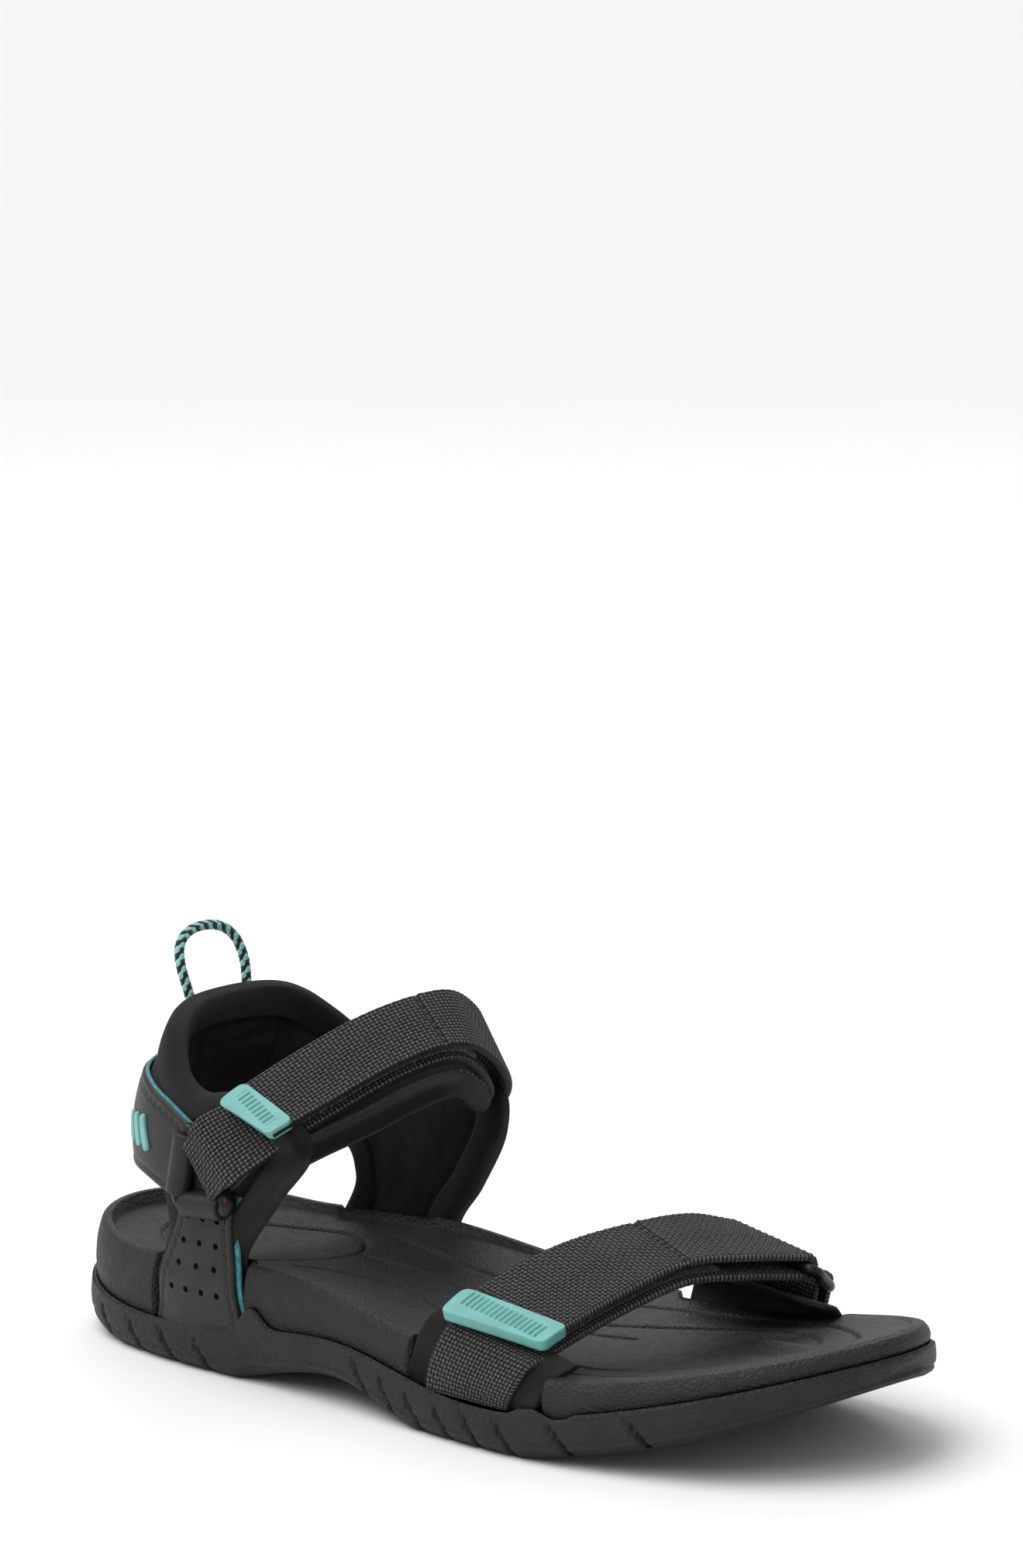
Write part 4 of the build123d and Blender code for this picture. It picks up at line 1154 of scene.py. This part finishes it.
def make_heel_strap():
    low = [(-71, 42.5), (-78, 44.5), (-85, 46), (-92, 46.5), (-100, 47)]
    high = [(-65, 62.0), (-74, 66), (-82, 68.2), (-90, 70), (-99, 71)]
    patch = Patch(both_sides(low, [47], low[::-1]), both_sides(high, [71], high[::-1]), 420, 40, ends=True)
    outer, inner = soft_plate(patch, 0.9, 2.6, 0.9)
    outer = outer - 0.3 * dent(patch.edge - 2.4, 0.45)
    patch.shell("heel_strap_leather", outer, inner, LEATHER, ["heel_strap"])
    edge = patch.high + (0, 0.15)
    points = on_collar(edge, 1.55)
    sides = 8
    tube = tube_points(points, 0.5, sides)
    ends_shut(tube, points, sides)
    faces = grid_faces(len(points), sides, close_cols=True)
    add_piece("heel_strap_teal_edge", tube, faces, TEAL_FABRIC)
    leather_stitches("heel_strap_stitches", patch.inset(2.4, True), 2.35)


def ends_shut(tube, path, sides):
    tube[:sides], tube[-sides:] = path[0], path[-1]


def leather_stitches(name, line, height):
    """Stitches along a (q, z) line, on leather that stands height off the collar."""
    spots = on_collar(line, height)
    up = on_collar(line, height + 1) - spots
    stitches(name, spots, up, 2.0, 0.8, 0.25)


def make_side_tab(name, sign):
    """Perforated leather tab, its coloured backing and its stitches."""
    rear = [(-70.3, 46.5, sign), (-71, 38, sign), (-76.5, 25, sign), (-81, 12, sign), (-82, 6, sign)]
    front = [(-50.8, 46.5, sign), (-52, 38, sign), (-50.5, 25, sign), (-49, 12, sign), (-48.5, 6, sign)]
    patch = Patch(rear, front, 150, 110, ends=True)
    outer, inner = soft_plate(patch, 0.75, 2.3, 0.8)
    outer = outer - 0.35 * dent(patch.edge - 2.2, 0.5)
    leather = patch.shell(f"{name}_tab_leather", outer, inner, LEATHER,
                          [f"{name}_side_tab"])
    drill = []
    for z, count, pitch in TAB_HOLES:
        for k in range(count):
            x = -61.5 - (39.5 - z) * 0.15 + (k - (count - 1) / 2) * pitch
            q = q_at(x, z, sign)
            drill.append(np.stack([collar_point(q, z, -1.0), collar_point(q, z, 6.0)]))
    punch(leather, drill, HOLE_RADIUS)
    wide_rear, wide_front = [(x - 0.4, z, s) for x, z, s in rear], [(x + 1.3, z, s) for x, z, s in front]
    backing = Patch(wide_rear, wide_front, 80, 40, ends=True)
    low = np.full_like(backing.edge, 0.1)
    backing.shell(f"{name}_tab_teal", low + 0.7, low, TEAL_FABRIC, [f"{name}_tab_backing"])
    for place, high in (("front", True), ("rear", False)):
        line = patch.inset(2.2, high)
        line = line[(line[:, 1] < 44) & (line[:, 1] > 15)]
        leather_stitches(f"{name}_tab_{place}_stitches", line, 2.0)


def punch(piece, axes, radius):
    """Round holes through a piece, one along each axis."""
    points, faces = [], []
    count = 20
    for axis in axes:
        rings = tube_points(axis, radius, count, normal_hint=(1, 0, 0.1))
        base = sum(len(part) for part in points)
        points.append(np.concatenate([rings, axis]))
        low = [base + k for k in range(count)]
        pairs = list(zip(low, low[1:] + low[:1]))
        faces += [(here, there, there + count, here + count) for here, there in pairs]
        faces += [(there, here, base + 2 * count) for here, there in pairs]
        faces += [(here + count, there + count, base + 2 * count + 1) for here, there in pairs]
    mesh = bpy.data.meshes.new("drill")
    mesh.from_pydata((np.concatenate(points) * MM).tolist(), [], faces)
    shape = bmesh.new()
    shape.from_mesh(mesh)
    bmesh.ops.recalc_face_normals(shape, faces=shape.faces)
    shape.to_mesh(mesh)
    shape.free()
    drill = new_object("drill", mesh)
    cut = piece.modifiers.new("holes", "BOOLEAN")
    cut.operation = "DIFFERENCE"
    cut.solver = "EXACT"
    cut.object = drill
    bpy.context.view_layer.update()
    result = bpy.data.meshes.new_from_object(piece.evaluated_get(bpy.context.evaluated_depsgraph_get()))
    piece.modifiers.clear()
    piece.data = result
    bpy.data.objects.remove(drill)


make_collar()
make_heel_strap()
make_side_tab("lateral", -1)
make_side_tab("medial", 1)


# ---- instep pad ---------------------------------------------------------------------
def make_instep_pad():
    """Padded cushion under the ankle strap, wider than it, with a rolled strip along each long edge."""
    t = np.linspace(0.10, 0.70, 300)
    thick, rows, cols = PAD_THICK, len(t), 64
    half = 15.0 + 1.6 * window(t, 0.2, 0.62, 0.15)
    lean = 1.0 * window(t, 0.2, 0.66, 0.2)
    share = np.sin(np.linspace(-pi / 2, pi / 2, cols))
    v = half[:, None] * share + lean[:, None]
    edge = half[:, None] * (1 - np.abs(share))
    ends = np.minimum(ankle.along[-1] * (t - t[0]), ankle.along[-1] * (t[-1] - t))[:, None]
    edge = np.minimum(edge, ends)
    swell = np.sqrt(1 - (1 - np.clip(edge / (thick / 2), 0, 1)) ** 2)
    rim = 0.45 * window(edge, 0.8, PAD_RIM - 0.6, 1.2)
    groove = 0.55 * dent(edge - PAD_RIM, 0.7)
    puff = 0.7 * smoothstep((edge - PAD_RIM) / 6)
    middle = LOWER_DEPTH + WEBBING_THICK + 0.15 + thick / 2
    top_depth = middle - thick / 2 * swell - (rim - groove) * swell
    top_depth = np.maximum(top_depth, np.where(np.abs(v) < 10.6, LOWER_DEPTH + WEBBING_THICK + 0.1, 0))
    bottom_depth = middle + thick / 2 * swell + (rim - groove + puff) * swell
    flat_t = np.repeat(t, cols)
    top = ankle.at(flat_t, v.ravel(), top_depth.ravel()).reshape(rows, cols, 3)
    bottom = ankle.at(flat_t, v.ravel(), bottom_depth.ravel()).reshape(rows, cols, 3)
    uv = np.stack([np.broadcast_to((ankle.along[-1] * t)[:, None], v.shape), v], -1)
    pad = add_sheet("instep_cushion", top, bottom, uv, ROLLED, "root", ["instep_pad"])
    keep = slice(12, -12)
    for label, sign in (("front", 1), ("rear", -1)):
        offset = sign * (half - PAD_RIM + 1.3) + lean
        line = ankle.at(t, offset, np.full(rows, middle - thick / 2 - 0.35))
        up = ankle.frame(t)[3]
        stitches(f"instep_{label}_stitches", line[keep], up[keep])
        line = ankle.at(t, offset, np.full(rows, middle + thick / 2 + 0.45))
        stitches(f"instep_{label}_under_stitches", line[keep], -up[keep])


# ---- rings, leather sleeves, emblem ------------------------------------------------
def bar_ends(strap, t, width, margin):
    """Ends of the ring bar that the strap's webbing turns round at t."""
    _, _, across, _ = strap.frame(t)
    middle = strap.at(np.array([t]), np.array([0.0]), np.array([FOLD_RADIUS]))[0]
    reach = across[0] * (width / 2 + margin)
    return middle - reach, middle + reach


def rounded_loop(corners, radius):
    """Closed line through corners, with its corners rounded off."""
    points = []
    for index, corner in enumerate(corners):
        before = corners[index - 1] - corner
        after = corners[(index + 1) % len(corners)] - corner
        start = corner + before / np.linalg.norm(before) * radius
        end = corner + after / np.linalg.norm(after) * radius
        share = np.linspace(0, 1, 14)[:, None]
        points.append((1 - share) ** 2 * start + 2 * share * (1 - share) * corner + share ** 2 * end)
    return np.concatenate(points)


def make_ring(name, corners, node, lobe=None):
    """Moulded ring; lobe is the corner that swells into an oval stop."""
    corners = [np.array(corner, float) for corner in corners]
    path = rounded_loop(corners, 3.0)
    path = resample(np.concatenate([path, path[:1]]), 241)[:-1]
    normal = np.cross(corners[1] - corners[0], corners[2] - corners[0])
    size = np.full(len(path), RING_BAR)
    if lobe is not None:
        near = np.linalg.norm(path - corners[lobe], axis=1)
        size = size + 1.0 * dent(near, 4.0)
    points = tube_points(path, size, 16, closed=True, normal_hint=tuple(normal / np.linalg.norm(normal)))
    faces = grid_faces(len(path), 16, close_rows=True, close_cols=True)
    add_piece(name, points, faces, RING, "root", [node])


def make_sleeve(name, start, end, inset):
    """Leather turned round a ring's bar, inset from both of its ends."""
    step = (end - start) / np.linalg.norm(end - start)
    low, high = start + step * inset, end - step * inset
    share = np.concatenate([[0, 0, 0.005, 0.02, 0.05], np.linspace(0.08, 0.92, 30),
                            [0.95, 0.98, 0.995, 1, 1]])
    ending = [0.3, 0.72, 0.88, 0.97, 1]
    sizes = SLEEVE_RADIUS * np.concatenate([ending, np.ones(30), ending[::-1]])
    path = low + share[:, None] * (high - low)
    path[0], path[-1] = low - step * 0.01, high + step * 0.01
    outwards = (0, 1 if low[1] > 0 else -1, 0)
    points = tube_points(path, sizes, 28, flat=0.9, normal_hint=outwards)
    ends_shut(points, path, 28)
    add_piece(name, points, grid_faces(len(path), 28, close_cols=True), LEATHER)


def make_rings():
    lateral_top, lateral_front = bar_ends(ankle_lead, 0, ANKLE_FOLD, RING_REACH)
    medial_top, medial_front = bar_ends(ankle, 1, ANKLE_FOLD, RING_REACH)
    for name, top, corner, front in (("lateral", lateral_top, LATERAL_RING_CORNER, lateral_front),
                                     ("medial", medial_top, MEDIAL_RING_CORNER, medial_front)):
        corner = np.array(corner)
        make_ring(f"{name}_ring_moulding", (top, corner, front), f"{name}_ring", 2)
        make_sleeve(f"{name}_rear_sleeve", top, corner, 2.6)
        make_sleeve(f"{name}_low_sleeve", corner, front, 2.8)
    anchor = Strap(MEDIAL_ANCHOR)
    upper = bar_ends(forefoot, 1, FOREFOOT_WIDE, FLAT_RING_REACH)
    lower = bar_ends(anchor, 0, FOREFOOT_WIDE, FLAT_RING_REACH)
    make_ring("forefoot_ring_moulding", (upper[0], upper[1], lower[1], lower[0]), "forefoot_ring")


def flat_top(x, y):
    return np.zeros_like(x)


def make_emblem():
    """Three plain slanted bars, raised on the heel strap."""
    middle, height = q_at(-88.5, 57, -1), 57
    for index in range(3):
        outline = rounded_slab(1.3, 4.6 - 0.4 * index, 0.9, 90)
        turn = radians(-24)
        spot = middle + (index - 1) * 4.4

        def to_space(x, y, rise):
            q = spot + x * cos(turn) - y * sin(turn)
            return collar_point(q, height + x * sin(turn) + y * cos(turn), 2.45 + rise)

        shares = [0, 0.97, 1, 1, 0.97, 0.9, 0.8] + list(np.linspace(0.7, 0, 6))
        heights = [-0.4, -0.4, -0.2, 0.5, 0.72, 0.8, 0.82] + [0.84] * 6
        nodes = ["heel_emblem"] if index == 0 else []
        plate(f"emblem_bar_{index}", outline, shares, heights, flat_top, to_space, TEAL,
              "root", nodes)


make_instep_pad()
make_rings()
make_emblem()


# ---- carried-over solids ----------------------------------------------------------
def finish_nodes(finishes):
    for name, finish in finishes.items():
        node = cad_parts[name]
        node.data.materials.clear()
        node.data.materials.append(finish)


finish_nodes({"shank": INSERT, "heel_shock_pad": SHOCK})


# ---- studio, in metres --------------------------------------------------------------
FLOOR_REACH = 14


def area_light(name, place, aim, size, power):
    light = bpy.data.lights.new(name, "AREA")
    light.shape = "RECTANGLE"
    light.size, light.size_y = size
    light.energy = power
    lamp = new_object(name, light)
    lamp.location = place
    lamp.rotation_euler = (Vector(aim) - Vector(place)).to_track_quat("-Z", "Y").to_euler()


def make_floor():
    mesh = bpy.data.meshes.new("floor")
    corners = [(x * FLOOR_REACH, y * FLOOR_REACH, 0) for x, y in ((-1, -1), (1, -1), (1, 1), (-1, 1))]
    mesh.from_pydata(corners, [], [(0, 1, 2, 3)])
    mesh.materials.append(pale_floor())
    new_object("floor", mesh)


def make_lights():
    world = bpy.data.worlds.new("studio")
    world.use_nodes = True
    background = world.node_tree.nodes["Background"]
    background.inputs["Color"].default_value = (1, 1, 1, 1)
    background.inputs["Strength"].default_value = 0.5
    bpy.context.scene.world = world
    bpy.context.scene.view_settings.view_transform = "Standard"
    sun = bpy.data.lights.new("sun", "SUN")
    sun.energy = 1.9
    sun.angle = radians(55)
    lamp = new_object("sun", sun)
    lamp.rotation_euler = Vector((0.35, 0.3, -1)).to_track_quat("-Z", "Y").to_euler()
    area_light("key", (0.2, -1.0, 0.9), (0, 0, 0.03), (0.7, 0.5), 3)
    area_light("rear", (-0.7, 0.9, 0.9), (0, 0, 0.04), (0.9, 0.5), 4)


make_floor()
make_lights()
